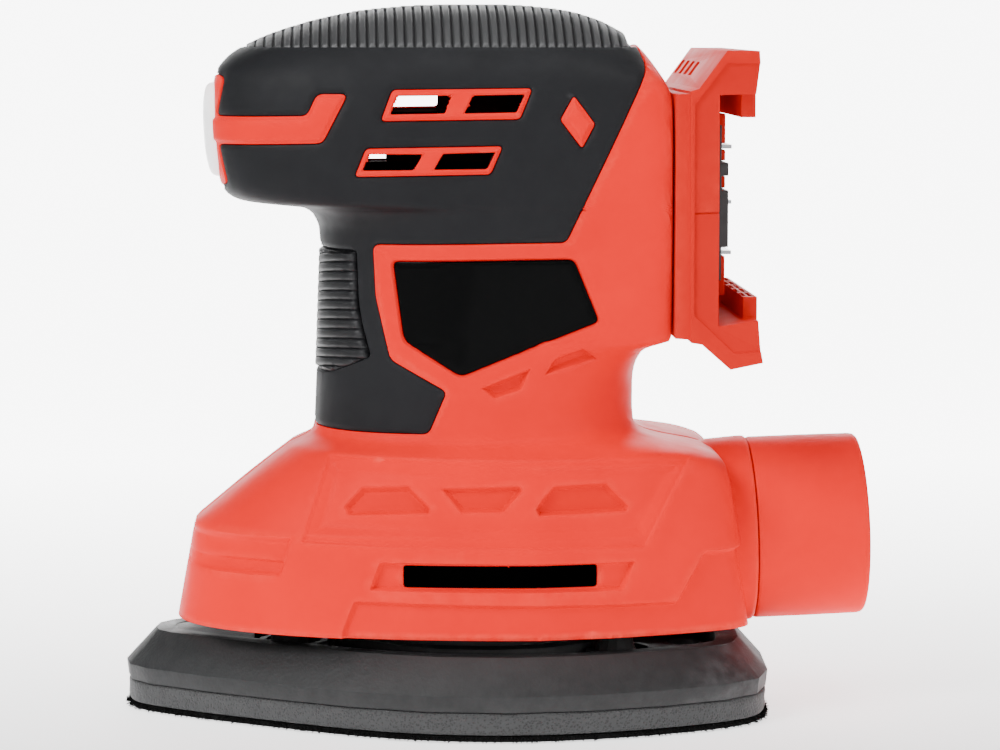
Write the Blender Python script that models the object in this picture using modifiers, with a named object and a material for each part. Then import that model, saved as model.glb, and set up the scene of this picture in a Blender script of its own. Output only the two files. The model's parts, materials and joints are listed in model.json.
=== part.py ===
"""Cordless palm detail sander, bare tool: an assembly of separate parts.

Lengths are in millimetres and MM turns them into metres. The origin is on the drive axis, on the
working face of the pad. The nose points along -X, the dust outlet along +X and +Z is up.
"""

import math

import bmesh
import bpy
from mathutils import Matrix, Vector

MM = 0.001
GAP = 0.3  # between parts that touch on the real tool
HALF_GAP = GAP / 2
WALL = 4.0  # clamshell wall, grip cover included
GRIP = 1.2  # thickness of the soft grip cover
BADGE_POCKET = 2.2
FAR = 60.0  # past the side of everything

# Body of the clamshell, one row for each level:
# z, front x, rear x, half width, place of the widest point (0 to 1), two powers of the front curve,
# taper and power of the rear curve, and how much the surface faces up (+) or down (-) there.
STATIONS = (
    (20.0, -66.5, 57.5, 41.0, 0.62, 1.9, 2.4, 0.34, 10.0, 0.0),
    (41.0, -62.7, 54.2, 40.6, 0.62, 1.9, 2.4, 0.32, 10.0, 0.0),
    (50.0, -51.8, 52.2, 39.6, 0.60, 1.9, 2.4, 0.28, 10.0, 0.2),
    (55.5, -44.8, 50.9, 38.6, 0.58, 1.9, 2.4, 0.22, 9.0, 0.5),
    (57.9, -41.8, 46.5, 37.0, 0.56, 2.0, 2.3, 0.18, 8.0, 1.0),
    (59.2, -39.0, 39.8, 34.0, 0.52, 2.1, 2.2, 0.10, 5.0, 1.0),
    (60.3, -36.6, 35.5, 29.5, 0.50, 2.2, 2.2, 0.00, 3.0, 0.5),
    (64.0, -36.2, 33.3, 28.0, 0.50, 2.2, 2.2, 0.00, 2.6, 0.0),
    (75.0, -35.8, 33.4, 28.1, 0.50, 2.2, 2.2, 0.00, 2.8, 0.0),
    (79.6, -35.6, 35.2, 28.3, 0.50, 2.2, 2.2, -0.02, 4.0, -0.5),
    (81.9, -35.5, 38.8, 28.5, 0.50, 2.2, 2.2, -0.08, 8.0, -1.0),
    (100.0, -34.8, 39.5, 29.4, 0.50, 2.2, 2.2, -0.08, 14.0, 0.0),
    (106.0, -35.0, 39.5, 30.0, 0.50, 2.2, 2.3, -0.08, 14.0, 0.0),
    (108.0, -37.1, 39.5, 30.2, 0.50, 2.2, 2.4, -0.08, 14.0, -1.0),
    (109.3, -46.0, 39.5, 30.4, 0.50, 2.3, 2.6, -0.07, 14.0, -1.0),
    (110.5, -53.0, 39.5, 30.6, 0.50, 2.4, 2.9, -0.06, 14.0, -1.0),
    (114.6, -55.2, 39.5, 31.0, 0.50, 2.5, 3.0, -0.05, 14.0, -0.5),
    (126.0, -57.5, 39.5, 31.0, 0.50, 2.5, 3.2, -0.04, 14.0, 0.0),
    (134.0, -57.3, 39.5, 30.0, 0.50, 2.5, 3.2, -0.02, 12.0, 0.2),
    (138.0, -57.2, 37.8, 28.5, 0.50, 2.5, 3.0, 0.00, 6.0, 0.5),
    (143.7, -52.4, 34.5, 23.8, 0.50, 2.4, 2.6, 0.00, 4.0, 1.0),
    (148.0, -42.5, 30.0, 18.0, 0.48, 2.2, 2.3, 0.00, 3.0, 1.0),
    (151.5, -29.0, 21.0, 10.5, 0.48, 2.1, 2.1, 0.00, 2.6, 1.0),
    (153.0, -12.0, 8.0, 1.5, 0.48, 2.0, 2.0, 0.00, 2.2, 1.0),
)
BODY_TOP = STATIONS[-1][0]
OUTER_STEPS = (6, 4)  # steps of a section, nose to widest point and on to the rear
INNER_STEPS = (5, 3)
PAST_MIDDLE = 3.0  # how far a half reaches over the middle plane before it is trimmed there

# Outlines on the side of the body, as (x, z).
GRIP_OUTLINE = (
    (33.0, 160.0), (33.6, 144.5), (34.7, 140.4), (22.3, 116.4), (17.8, 105.4), (14.3, 103.0),
    (-22.0, 102.3), (-23.4, 100.6), (-23.1, 91.4), (-20.8, 80.7), (-20.1, 78.1), (-8.1, 72.2),
    (-8.1, 70.6), (-12.0, 62.3), (-60.0, 61.7), (-60.0, 113.8), (-53.9, 114.6), (-55.7, 123.5),
    (-34.3, 124.1), (-33.0, 125.0), (-29.0, 134.3), (-35.3, 134.3), (-37.4, 129.7),
    (-56.2, 129.3), (-53.9, 138.0), (-60.0, 138.6), (-60.0, 160.0),
)
DIAMOND = ((18.5, 133.8), (22.8, 128.1), (20.1, 123.1), (15.7, 129.0))
BADGE_OUTLINE = (
    (-19.2, 98.5), (18.2, 99.4), (23.4, 86.9), (23.1, 85.6), (-4.6, 75.2), (-5.8, 75.5),
    (-16.8, 81.8), (-17.5, 83.3),
)
LEAN = 0.38  # sideways lean of the air windows for each mm of height
WINDOW_FRAMES = ((-21.9, 7.2, 129.0, 135.2), (-27.3, 1.0, 117.3, 123.0))
WINDOWS = (
    (-20.0, -8.6, 130.2, 134.0), (-4.7, 6.4, 130.2, 134.0),
    (-25.8, -15.0, 118.5, 121.8), (-11.1, 0.2, 118.5, 121.8),
)
RECESSES = (
    ((-30.9, 48.4), (-27.1, 52.3), (-17.0, 52.8), (-12.3, 48.4), (-12.5, 46.9), (-29.7, 46.3)),
    ((-10.4, 52.0), (-9.3, 52.6), (6.7, 52.8), (7.5, 51.8), (3.3, 47.1), (-5.6, 46.9)),
    ((9.8, 48.1), (14.1, 52.7), (25.5, 53.0), (30.7, 47.9), (30.3, 46.6), (11.2, 46.1)),
    ((-1.0, 72.3), (9.9, 76.3), (7.8, 71.5), (2.2, 69.9)),
    ((12.5, 74.9), (14.6, 78.2), (20.8, 80.4), (24.1, 78.0)),
    ((-22.7, 36.4), (-24.8, 30.4), (28.6, 30.2), (31.4, 36.4)),
)
SLOT = (-18.1, 23.5, 31.0, 35.8)

# Pad: one half of the outline of the platen, foam and hook layer, nose to rear, as (x, width).
PAD_OUTLINE = (
    (-79.0, 0.0), (-77.9, 7.0), (-73.8, 12.6), (-61.5, 21.6), (-47.0, 30.6), (-30.0, 40.2),
    (-14.0, 46.2), (3.0, 48.5), (20.0, 46.8), (36.0, 42.4), (50.0, 36.4), (57.5, 30.0),
    (60.6, 20.0), (61.5, 0.0),
)
HOOK_TOP = 1.2
FOAM_TOP = 6.0
PLATEN_BOTTOM = 6.3
PLATEN_EDGE = 9.7
PLATEN_TOP = 16.8
PLATEN_FLOOR = 9.3
POST_TOP = 15.8  # of the bearing seat and the leg posts
DUST_HOLES = ((-52.0, 8.0), (-30.0, 22.0), (46.0, 16.0))
DUST_HOLE_RADIUS = 4.0

# Drive.
ORBIT = 1.0  # offset of the pin from the drive axis
SHAFT_RADIUS = 2.5
BEARING_RADIUS = 11.0
BEARING_Z = (8.6, 15.6)
PIN_RADIUS = 3.85
CAN_RADIUS = 18.9
CAN_Z = (50.5, 104.0)
POLES = 10
FAN_RADIUS = 28.0
CEILING_Z = (45.0, 48.2)  # plate between the fan chamber and the motor
RIB_LEVELS = ((60.5, 63.5), (95.0, 98.0))
PILLARS = ((-42.0, 12.0), (28.0, 26.0))
PILLAR_RADIUS = 4.5

# Dust outlet, on an axis that points a little up.
OUTLET_Z = 35.8  # height of the outlet axis where it crosses the drive axis
OUTLET_TILT = math.radians(2.0)
OUTLET_RADIUS = 20.0
NECK_START = 43.0
NECK_END = 59.4
NOZZLE_END = 84.0
DUCT_RADIUS = 17.3
SEAL_DEPTH = 1.3

# Clamshell screws, as (x, z), driven in from the +Y side.
SCREWS = (
    (-45.2, 117.2), (34.2, 131.8), (-24.6, 104.4), (-24.6, 68.2), (26.0, 72.0), (-52.0, 33.0),
    (26.5, 108.0),
)
SCREW_SEAT = 12.0
SCREW_TIP = 10.0
BOSS_RADIUS = 4.6

# Battery dock.
DOCK_HALF = 36.5
DOCK_X = 39.8
DOCK_WALL = 48.6
DOCK_OUTLINE = (
    (44.2, 135.6), (50.0, 143.4), (56.8, 143.4), (57.0, 140.8), (56.2, 134.4), (DOCK_WALL, 134.2),
    (DOCK_WALL, 85.8), (57.0, 87.0), (57.5, 80.9), (58.0, 78.1), (51.1, 76.7), (45.1, 82.0),
    (42.8, 82.4), (42.4, 135.0),
)
DOCK_LIPS = ((54.1, 57.2, 129.3, 135.5), (54.8, 57.8, 84.0, 91.3))
LIP_HALF = 27.0
BLADES = (("positive", 122.6), ("sense", 110.7), ("negative", 99.8))
BLOCK_STEPS = ((90.0, 101.2), (113.4, 116.5), (119.3, 130.0))  # low parts of the blade carrier

LEAD_RADIUS = 0.85

# Switch at the front of the head.
ROCKER_AXIS = (-52.6, 126.0)
ROCKER_TILT = math.radians(-8.0)

LOOKS = {
    "orange_plastic": ((0.83, 0.09, 0.045), 0.45, 0.0),
    "soft_grip": ((0.024, 0.025, 0.028), 0.8, 0.0),
    "black_gloss": ((0.006, 0.006, 0.008), 0.12, 0.0),
    "black_plastic": ((0.021, 0.022, 0.023), 0.55, 0.0),
    "clear_rubber": ((0.80, 0.82, 0.83), 0.35, 0.0),
    "grey_foam": ((0.12, 0.115, 0.115), 0.95, 0.0),
    "hook_fabric": ((0.012, 0.012, 0.012), 1.0, 0.0),
    "rubber": ((0.03, 0.03, 0.03), 0.85, 0.0),
    "steel": ((0.56, 0.57, 0.58), 0.3, 1.0),
    "dark_steel": ((0.25, 0.25, 0.26), 0.4, 1.0),
    "copper": ((0.72, 0.34, 0.17), 0.35, 1.0),
    "zinc": ((0.45, 0.45, 0.44), 0.5, 1.0),
    "magnet": ((0.09, 0.09, 0.095), 0.6, 0.0),
    "carbon": ((0.03, 0.03, 0.032), 0.7, 0.0),
    "board_green": ((0.02, 0.16, 0.07), 0.4, 0.0),
    "red_wire": ((0.6, 0.02, 0.02), 0.5, 0.0),
    "black_wire": ((0.015, 0.015, 0.015), 0.5, 0.0),
}


# ---------------------------------------------------------------- scene and objects
def clear_scene():
    for item in list(bpy.data.objects):
        bpy.data.objects.remove(item)


def new_collection(name):
    group = bpy.data.collections.new(name)
    bpy.context.scene.collection.children.link(group)
    return group


def look(name):
    """The named material, made the first time it is asked for."""
    found = bpy.data.materials.get(name)
    if found:
        return found
    colour, roughness, metallic = LOOKS[name]
    made = bpy.data.materials.new(name)
    made.use_nodes = True
    shader = made.node_tree.nodes["Principled BSDF"]
    shader.inputs["Base Color"].default_value = (*colour, 1.0)
    shader.inputs["Roughness"].default_value = roughness
    shader.inputs["Metallic"].default_value = metallic
    made.diffuse_color = (*colour, 1.0)
    return made


def place(name, mesh, finish=None):
    """Link a mesh as a part with a finish, or as a cutter without one."""
    made = bpy.data.objects.new(name, mesh)
    if finish:
        PARTS.objects.link(made)
        mesh.materials.append(look(finish))
    else:
        CUTTERS.objects.link(made)
        made.hide_render = True
        made.display_type = "WIRE"
    return made


def finish_mesh(name, bm, smooth=False):
    """Turn a bmesh in millimetres into a mesh in metres."""
    bmesh.ops.recalc_face_normals(bm, faces=bm.faces[:])
    bmesh.ops.scale(bm, vec=(MM, MM, MM), verts=bm.verts[:])
    mesh = bpy.data.meshes.new(name)
    bm.to_mesh(mesh)
    bm.free()
    if smooth:
        mesh.shade_smooth()
        mesh.set_sharp_from_angle(angle=math.radians(35))
    return mesh


def combine(target, other, operation="DIFFERENCE"):
    """Add a Boolean step. The many-featured clamshell halves need the MANIFOLD solver."""
    step = target.modifiers.new(f"{operation.lower()} {other.name}", "BOOLEAN")
    step.operation = operation
    step.solver = "MANIFOLD" if target.name in ("housing_left", "housing_right") else "EXACT"
    step.object = other
    return target


def bevel(target, width):
    step = target.modifiers.new("chamfered edges", "BEVEL")
    step.width = width * MM
    step.segments = 1
    step.limit_method = "ANGLE"
    step.angle_limit = math.radians(40)
    return target


def put_origin(target, x, y, z):
    """Move the origin of an unturned part onto its joint axis, and leave its shape in place."""
    shift = Vector((x, y, z)) * MM - target.location
    target.data.transform(Matrix.Translation(-shift))
    target.location += shift
    return target


# ---------------------------------------------------------------- simple solids
def box(name, low, high, finish=None):
    bm = bmesh.new()
    size = [b - a for a, b in zip(low, high)]
    centre = [(a + b) / 2 for a, b in zip(low, high)]
    bmesh.ops.create_cube(bm, size=1.0, matrix=Matrix.Translation(centre) @ Matrix.Diagonal((*size, 1)))
    return place(name, finish_mesh(name, bm), finish)


def rods(name, runs, finish=None, segments=16):
    """Separate round rods in one object, each run as (start, end, radius)."""
    bm = bmesh.new()
    for start, end, radius in runs:
        start, end = Vector(start), Vector(end)
        turn = Vector((0, 0, 1)).rotation_difference(end - start).to_matrix().to_4x4()
        where = Matrix.Translation((start + end) / 2) @ turn
        bmesh.ops.create_cone(
            bm, cap_ends=True, segments=segments, radius1=radius, radius2=radius,
            depth=(end - start).length, matrix=where,
        )
    return place(name, finish_mesh(name, bm, smooth=True), finish)


def turned(name, profile, finish, centre=(0.0, 0.0, 0.0), segments=24, tilt=0.0):
    """Turn (radius, z) points, listed down the outer side, about a Z axis through the centre."""
    ring = min(radius for radius, _ in profile) > 0
    mesh = bpy.data.meshes.new(name)
    points = [(radius * MM, 0.0, z * MM) for radius, z in profile]
    edges = [(i, i + 1) for i in range(len(points) - 1)]
    if ring:
        edges.append((len(points) - 1, 0))
    mesh.from_pydata(points, edges, [])
    made = place(name, mesh, finish)
    made.location = [c * MM for c in centre]
    made.rotation_euler = (0.0, tilt, 0.0)
    screw = made.modifiers.new("turn", "SCREW")
    screw.steps = segments
    screw.render_steps = segments
    screw.use_merge_vertices = True
    screw.merge_threshold = 0.00001
    screw.use_smooth_shade = True
    return made


def extruded(name, outlines, low, high, plane="XY", finish=None):
    """A flat outline, with any further outlines as its holes or fellows, from low to high.

    In plane XZ the outline holds (x, z) and the extrusion runs along Y.
    """
    curve = bpy.data.curves.new(name, "CURVE")
    curve.dimensions = "2D"
    curve.fill_mode = "BOTH"
    curve.extrude = (high - low) / 2 * MM
    for outline in outlines:
        spline = curve.splines.new("POLY")
        spline.points.add(len(outline) - 1)
        for point, (a, b) in zip(spline.points, outline):
            point.co = (a * MM, b * MM, 0.0, 1.0)
        spline.use_cyclic_u = True
    flat = bpy.data.objects.new(name + "_curve", curve)
    CUTTERS.objects.link(flat)
    middle = (low + high) / 2 * MM
    if plane == "XY":
        flat.matrix_world = Matrix.Translation((0.0, 0.0, middle))
    else:
        flat.matrix_world = Matrix.Translation((0.0, middle, 0.0)) @ Matrix.Rotation(math.pi / 2, 4, "X")
    return place_curve(name, flat, finish)


def place_curve(name, curve_object, finish):
    """Swap a curve object for a welded mesh object in the same place."""
    bpy.context.view_layer.update()
    graph = bpy.context.evaluated_depsgraph_get()
    mesh = bpy.data.meshes.new_from_object(curve_object.evaluated_get(graph))
    mesh.materials.clear()
    bm = bmesh.new()
    bm.from_mesh(mesh)
    bmesh.ops.remove_doubles(bm, verts=bm.verts[:], dist=1e-6)
    bmesh.ops.recalc_face_normals(bm, faces=bm.faces[:])
    bm.to_mesh(mesh)
    bm.free()
    made = place(name, mesh, finish)
    made.matrix_world = curve_object.matrix_world
    bpy.data.objects.remove(curve_object)
    return made


def tube(name, points, radius, finish):
    """A lead along a smooth curve through the given points."""
    curve = bpy.data.curves.new(name, "CURVE")
    curve.dimensions = "3D"
    curve.bevel_depth = radius * MM
    curve.bevel_resolution = 1
    curve.use_fill_caps = True
    route = smooth_route([Vector(p) for p in points])
    spline = curve.splines.new("POLY")
    spline.points.add(len(route) - 1)
    for point, where in zip(spline.points, route):
        point.co = (*(where * MM), 1.0)
    wire = bpy.data.objects.new(name + "_curve", curve)
    CUTTERS.objects.link(wire)
    return place_curve(name, wire, finish)


def smooth_route(points, steps=2):
    """Points along a Catmull-Rom curve through the given ones."""
    ends = [2 * points[0] - points[1]] + points + [2 * points[-1] - points[-2]]
    route = []
    for a, b, c, d in zip(ends, ends[1:], ends[2:], ends[3:]):
        for i in range(steps):
            t = i / steps
            route.append(0.5 * (2 * b + (c - a) * t + (2 * a - 5 * b + 4 * c - d) * t**2
                                + (3 * b - a - 3 * c + d) * t**3))
    return route + [points[-1]]


def arc(radius, start, end, steps, centre=(0.0, 0.0)):
    """Points on an arc, with the angles in degrees."""
    angles = [math.radians(start + (end - start) * i / steps) for i in range(steps + 1)]
    return [(centre[0] + radius * math.cos(a), centre[1] + radius * math.sin(a)) for a in angles]


# ---------------------------------------------------------------- body form
def station_at(z):
    """The row of STATIONS at a level, between its two neighbours."""
    z = min(max(z, STATIONS[0][0]), BODY_TOP)
    for low, high in zip(STATIONS, STATIONS[1:]):
        if z <= high[0]:
            share = (z - low[0]) / (high[0] - low[0])
            return [a + (b - a) * share for a, b in zip(low, high)]
    return list(STATIONS[-1])


def inset_station(z, inset):
    """Front x, rear x and half width at a level of the body made smaller by an inset all round."""
    front, rear, half = -math.inf, math.inf, math.inf
    for i in range(-6, 7):
        angle = math.radians(15 * i)
        row = station_at(z + inset * math.sin(angle))
        reach = inset * math.cos(angle)
        front = max(front, row[1] + reach)
        rear = min(rear, row[2] - reach)
        half = min(half, row[3] - reach)
    return front, rear, half


def half_outline(front, rear, half, shape, steps=OUTER_STEPS):
    """(x, width) points from the nose to the rear, of one half of a plan outline."""
    widest, power, root, taper, corner = shape
    front_steps, rear_steps = steps
    middle = front + (rear - front) * widest
    points = []
    for i in range(front_steps + 1):
        angle = math.pi / 2 * i / front_steps
        along = math.cos(angle) ** (2 / power) if i < front_steps else 0.0
        points.append((middle - (middle - front) * along, half * math.sin(angle) ** (2 / root)))
    for i in range(1, rear_steps + 1):
        angle = math.pi / 2 * i / rear_steps
        along = math.sin(angle) ** (2 / corner)
        across = math.cos(angle) ** (2 / corner) if i < rear_steps else 0.0
        points.append((middle + (rear - middle) * along, half * (1 - taper * along**1.5) * across))
    return points


def half_width_at(x, z):
    """How far the body reaches sideways at a point of its side view."""
    _, front, rear, half, widest, power, root, taper, corner, _ = station_at(z)
    middle = front + (rear - front) * widest
    if x <= middle:
        t = (middle - x) / (middle - front)
        return half * max(1 - t**power, 0.0) ** (1 / root)
    t = (x - middle) / (rear - middle)
    return half * (1 - taper * t**1.5) * max(1 - t**corner, 0.0) ** (1 / corner)


def body_half(
    name, side, inset=0.0, levels=None, closed_at=-HALF_GAP, finish=None, steps=OUTER_STEPS
):
    """One half of the body, made smaller by an inset and closed by a plane near the middle.

    With an inset the bottom is let down, so that the cavity it cuts is open there.
    """
    bm = bmesh.new()
    if levels is None:
        levels = [row[0] - inset * row[9] for row in STATIONS]
        if inset:
            levels = [levels[0] - 10.0] + levels
    loops = []
    for z in levels:
        shape = station_at(z)[4:9]
        outline = half_outline(*inset_station(z, inset), shape, steps)
        loop = [(x, -max(y, -closed_at)) for x, y in outline]
        if closed_at > 0:
            loop = [(loop[0][0], closed_at)] + loop[1:-1] + [(loop[-1][0], closed_at)]
        loops.append([bm.verts.new((x, -side * y, z)) for x, y in loop])
    count = len(loops[0])
    for lower, upper in zip(loops, loops[1:]):
        for i in range(count):
            j = (i + 1) % count
            bm.faces.new((lower[i], lower[j], upper[j], upper[i]))
    bm.faces.new(loops[0])
    bm.faces.new(loops[-1])
    return place(name, finish_mesh(name, bm, smooth=True), finish)


def inset_polygon(points, distance):
    """A polygon moved inwards by a distance, with mitred corners; a negative distance moves it out."""
    area = sum(a[0] * b[1] - b[0] * a[1] for a, b in zip(points, points[1:] + points[:1]))
    turn = 1.0 if area > 0 else -1.0
    moved = []
    for before, here, after in zip(points[-1:] + points[:-1], points, points[1:] + points[:1]):
        first = (Vector(here) - Vector(before)).normalized()
        second = (Vector(after) - Vector(here)).normalized()
        normal = Vector((-first.y - second.y, first.x + second.x)) * turn
        moved.append(tuple(Vector(here) + normal * (distance / (1 + first.dot(second)))))
    return moved


def leaning(low_x, high_x, low_z, high_z):
    """A window outline that leans towards the rear."""
    shift = LEAN * (high_z - low_z)
    return [(low_x, low_z), (high_x, low_z), (high_x + shift, high_z), (low_x + shift, high_z)]


def side_prism(name, outlines, side, near=-1.0):
    """The outlines of the side view, pushed out past that side of the body."""
    low, high = (near, FAR) if side > 0 else (-FAR, -near)
    return extruded(name, outlines, low, high, "XZ")


def side_groove(name, outlines, side, depth):
    """A cutter that sinks the outlines into the side by a depth."""
    cutter = side_prism(name, outlines, side)
    return combine(cutter, body_half(name + "_floor", side, depth, closed_at=3.0))


def side_tile(name, outlines, side, outer, inner, finish):
    """A curved plate that follows the side, between two depths below it."""
    tile = body_half(name, side, outer, finish=finish)
    combine(tile, side_prism(name + "_edge", outlines, side), "INTERSECT")
    return combine(tile, body_half(name + "_back", side, inner, closed_at=3.0))


# ---------------------------------------------------------------- clamshell and covers
def grip_holes():
    return [leaning(*frame) for frame in WINDOW_FRAMES] + [list(DIAMOND)]


def grip_cover(name, side):
    outlines = [inset_polygon(list(GRIP_OUTLINE), HALF_GAP)]
    outlines += [inset_polygon(hole, -HALF_GAP) for hole in grip_holes()]
    cover = side_tile(name, outlines, side, 0.0, GRIP, "soft_grip")
    return combine(cover, switch_window(name))


def badge(name, side):
    outline = inset_polygon(list(BADGE_OUTLINE), GAP)
    side_tile(name, [outline], side, 0.4, 1.5, "black_gloss")


def outlet_point(along, out=0.0):
    """A point on the tilted outlet axis, by its distance along it from the drive axis."""
    return (
        along * math.cos(OUTLET_TILT) - out * math.sin(OUTLET_TILT),
        0.0,
        OUTLET_Z + along * math.sin(OUTLET_TILT) + out * math.cos(OUTLET_TILT),
    )


def housing(name, side):
    """One half of the clamshell, built a little over the middle plane and trimmed there last."""
    shell = body_half(name, side, closed_at=PAST_MIDDLE - 1.0, finish="orange_plastic")
    grip = [inset_polygon(list(GRIP_OUTLINE), -HALF_GAP)]
    grip += [inset_polygon(hole, HALF_GAP) for hole in grip_holes()]
    combine(shell, side_groove(name + "_grip_recess", grip, side, GRIP + GAP))
    combine(shell, side_groove(name + "_badge_pocket", [BADGE_OUTLINE], side, BADGE_POCKET))
    combine(shell, side_groove(name + "_recesses", RECESSES, side, 0.9))
    combine(shell, body_half(name + "_cavity", side, WALL, closed_at=PAST_MIDDLE, steps=INNER_STEPS))
    for i, (low, high) in enumerate((CEILING_Z, *RIB_LEVELS)):
        rib = body_half(f"{name}_rib_{i}", side, WALL - 1.0, (low, high), 1.0, steps=INNER_STEPS)
        combine(shell, rib, "UNION")
    neck = [(outlet_point(NECK_START), outlet_point(NECK_END), OUTLET_RADIUS)]
    combine(shell, rods(name + "_neck", neck, segments=28), "UNION")
    combine(shell, screw_bosses(name + "_bosses", side), "UNION")
    feet = [((x, side * y, 33.0), (x, side * y, CEILING_Z[0] + 1.0), 6.6) for x, y in PILLARS]
    combine(shell, rods(name + "_feet", feet, segments=10), "UNION")
    combine(shell, rods(name + "_bores", wide_bores(), segments=28))
    combine(shell, rods(name + "_holes", narrow_bores(side), segments=8))
    motor_bore = [((0, 0, 56.0), (0, 0, 113.0), CAN_RADIUS + 0.5)]
    combine(shell, rods(name + "_motor_bore", motor_bore, segments=28))
    windows = [leaning(*window) for window in WINDOWS]
    combine(shell, side_prism(name + "_windows", windows, side, near=15.0))
    left, right, low, high = SLOT
    slot = [(left, low), (right, low), (right, high), (left, high)]
    combine(shell, side_prism(name + "_slot", [slot], side, near=20.0))
    combine(shell, box(name + "_dock_window", (33.0, -16.0, 96.0), (42.0, 16.0, 124.0)))
    combine(shell, box(name + "_flange_seat", (31.2, -19.3, 93.2), (35.1, 19.3, 126.8)))
    combine(shell, switch_window(name))
    low, high = sorted((-side * FAR, side * HALF_GAP))
    combine(shell, box(name + "_parting", (-90.0, low, 0.0), (90.0, high, 170.0)))
    return shell


def screw_bosses(name, side):
    """Pillars between the middle and the side wall, each ending inside the wall."""
    bosses = []
    for x, z in SCREWS:
        rim = [half_width_at(x + a, z + b) for a, b in arc(BOSS_RADIUS, 0, 315, 7)]
        reach = min(rim) - WALL + 1.2
        bosses.append(((x, -side * 1.5, z), (x, side * reach, z), BOSS_RADIUS))
    return rods(name, bosses, segments=10)


def switch_window(name):
    return box(name + "_switch_window", (-62.0, -7.8, 119.2), (-49.3, 7.8, 132.8))


def wide_bores():
    """The opening under the motor and the dust duct."""
    return [
        ((0, 0, CEILING_Z[0] - 1), (0, 0, CEILING_Z[1] + 1), 9.0),
        (outlet_point(29.0), outlet_point(64.0), DUCT_RADIUS),
    ]


def narrow_bores(side):
    """Leg sockets and screw holes of one half."""
    bores = [((x, side * y, 31.0), (x, side * y, 41.0), PILLAR_RADIUS + 0.4) for x, y in PILLARS]
    for x, z in SCREWS:
        if side < 0:
            bores.append(((x, 1.0, z), (x, -SCREW_TIP - 2.0, z), 1.9))
        else:
            bores.append(((x, -1.0, z), (x, SCREW_SEAT + 1.0, z), 1.9))
    return bores


def screw_pockets(shell):
    """Deep round pockets in the far half and its cover, where the screw heads sit."""
    pockets = [((x, SCREW_SEAT, z), (x, FAR, z), 3.6) for x, z in SCREWS]
    combine(shell, rods(shell.name + "_screw_pockets", pockets, segments=12))


def housing_screw(name, x, z):
    """A pan head screw along Y, with a square drive recess."""
    seat = SCREW_SEAT + GAP
    made = rods(name, [((x, -SCREW_TIP, z), (x, seat + 0.5, z), 1.5)], "steel", segments=8)
    head = [((x, seat, z), (x, seat + 2.4, z), 3.3)]
    combine(made, rods(name + "_head", head, segments=12), "UNION")
    drive = box(name + "_drive", (x - 1.0, seat + 1.2, z - 1.0), (x + 1.0, seat + 4.0, z + 1.0))
    return combine(made, drive)


def base_cover():
    """Plate that closes the fan chamber from below, with room for the counterweight and legs."""
    front, rear, half = inset_station(26.0, WALL + 1.8)
    side = half_outline(front, rear, half, STATIONS[0][4:9], INNER_STEPS)
    notch_x, notch_y = NECK_START - 0.5, 21.0
    edge = [(x, y) for x, y in side if x < notch_x or y > notch_y + 1.0]
    edge += [(rear, notch_y), (notch_x, notch_y)]
    outline = [(x, -y) for x, y in edge] + [(x, y) for x, y in reversed(edge[1:])]
    cover = extruded("base_cover", [outline], 24.0, 26.0, finish="black_plastic")
    combine(cover, rods("cover_centre_hole", [((0, 0, 20.0), (0, 0, 30.0), 24.0)], segments=24))
    holes = [((x, sign * y, 20.0), (x, sign * y, 30.0), 5.0) for x, y in PILLARS for sign in (-1, 1)]
    combine(cover, rods("cover_leg_holes", holes, segments=10))


def dust_seal():
    """Ring under the base cover that rides just clear of the track on the platen."""
    profile = [(31.0, 23.7), (31.0, 17.4), (28.4, 17.4), (28.4, 23.7)]
    turned("dust_seal", profile, "rubber", segments=24)


# ---------------------------------------------------------------- pad
def pad_outline(inset):
    """The whole outline of the pad where it stands at rest, moved in by an inset."""
    outline = [(x + ORBIT, -y) for x, y in PAD_OUTLINE]
    outline += [(x + ORBIT, y) for x, y in reversed(PAD_OUTLINE[1:-1])]
    return inset_polygon(outline, inset)


def round_hole(x, y, radius=DUST_HOLE_RADIUS, steps=8):
    return arc(radius, 0, 360 - 360 / steps, steps - 1, (x, y))


def dust_holes():
    return [round_hole(x + ORBIT, side * y) for x, y in DUST_HOLES for side in (-1, 1)]


def pad_layer(name, inset, low, high, finish):
    layer = extruded(name, [pad_outline(inset)] + dust_holes(), low, high, finish=finish)
    return put_origin(layer, ORBIT, 0.0, low)


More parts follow.
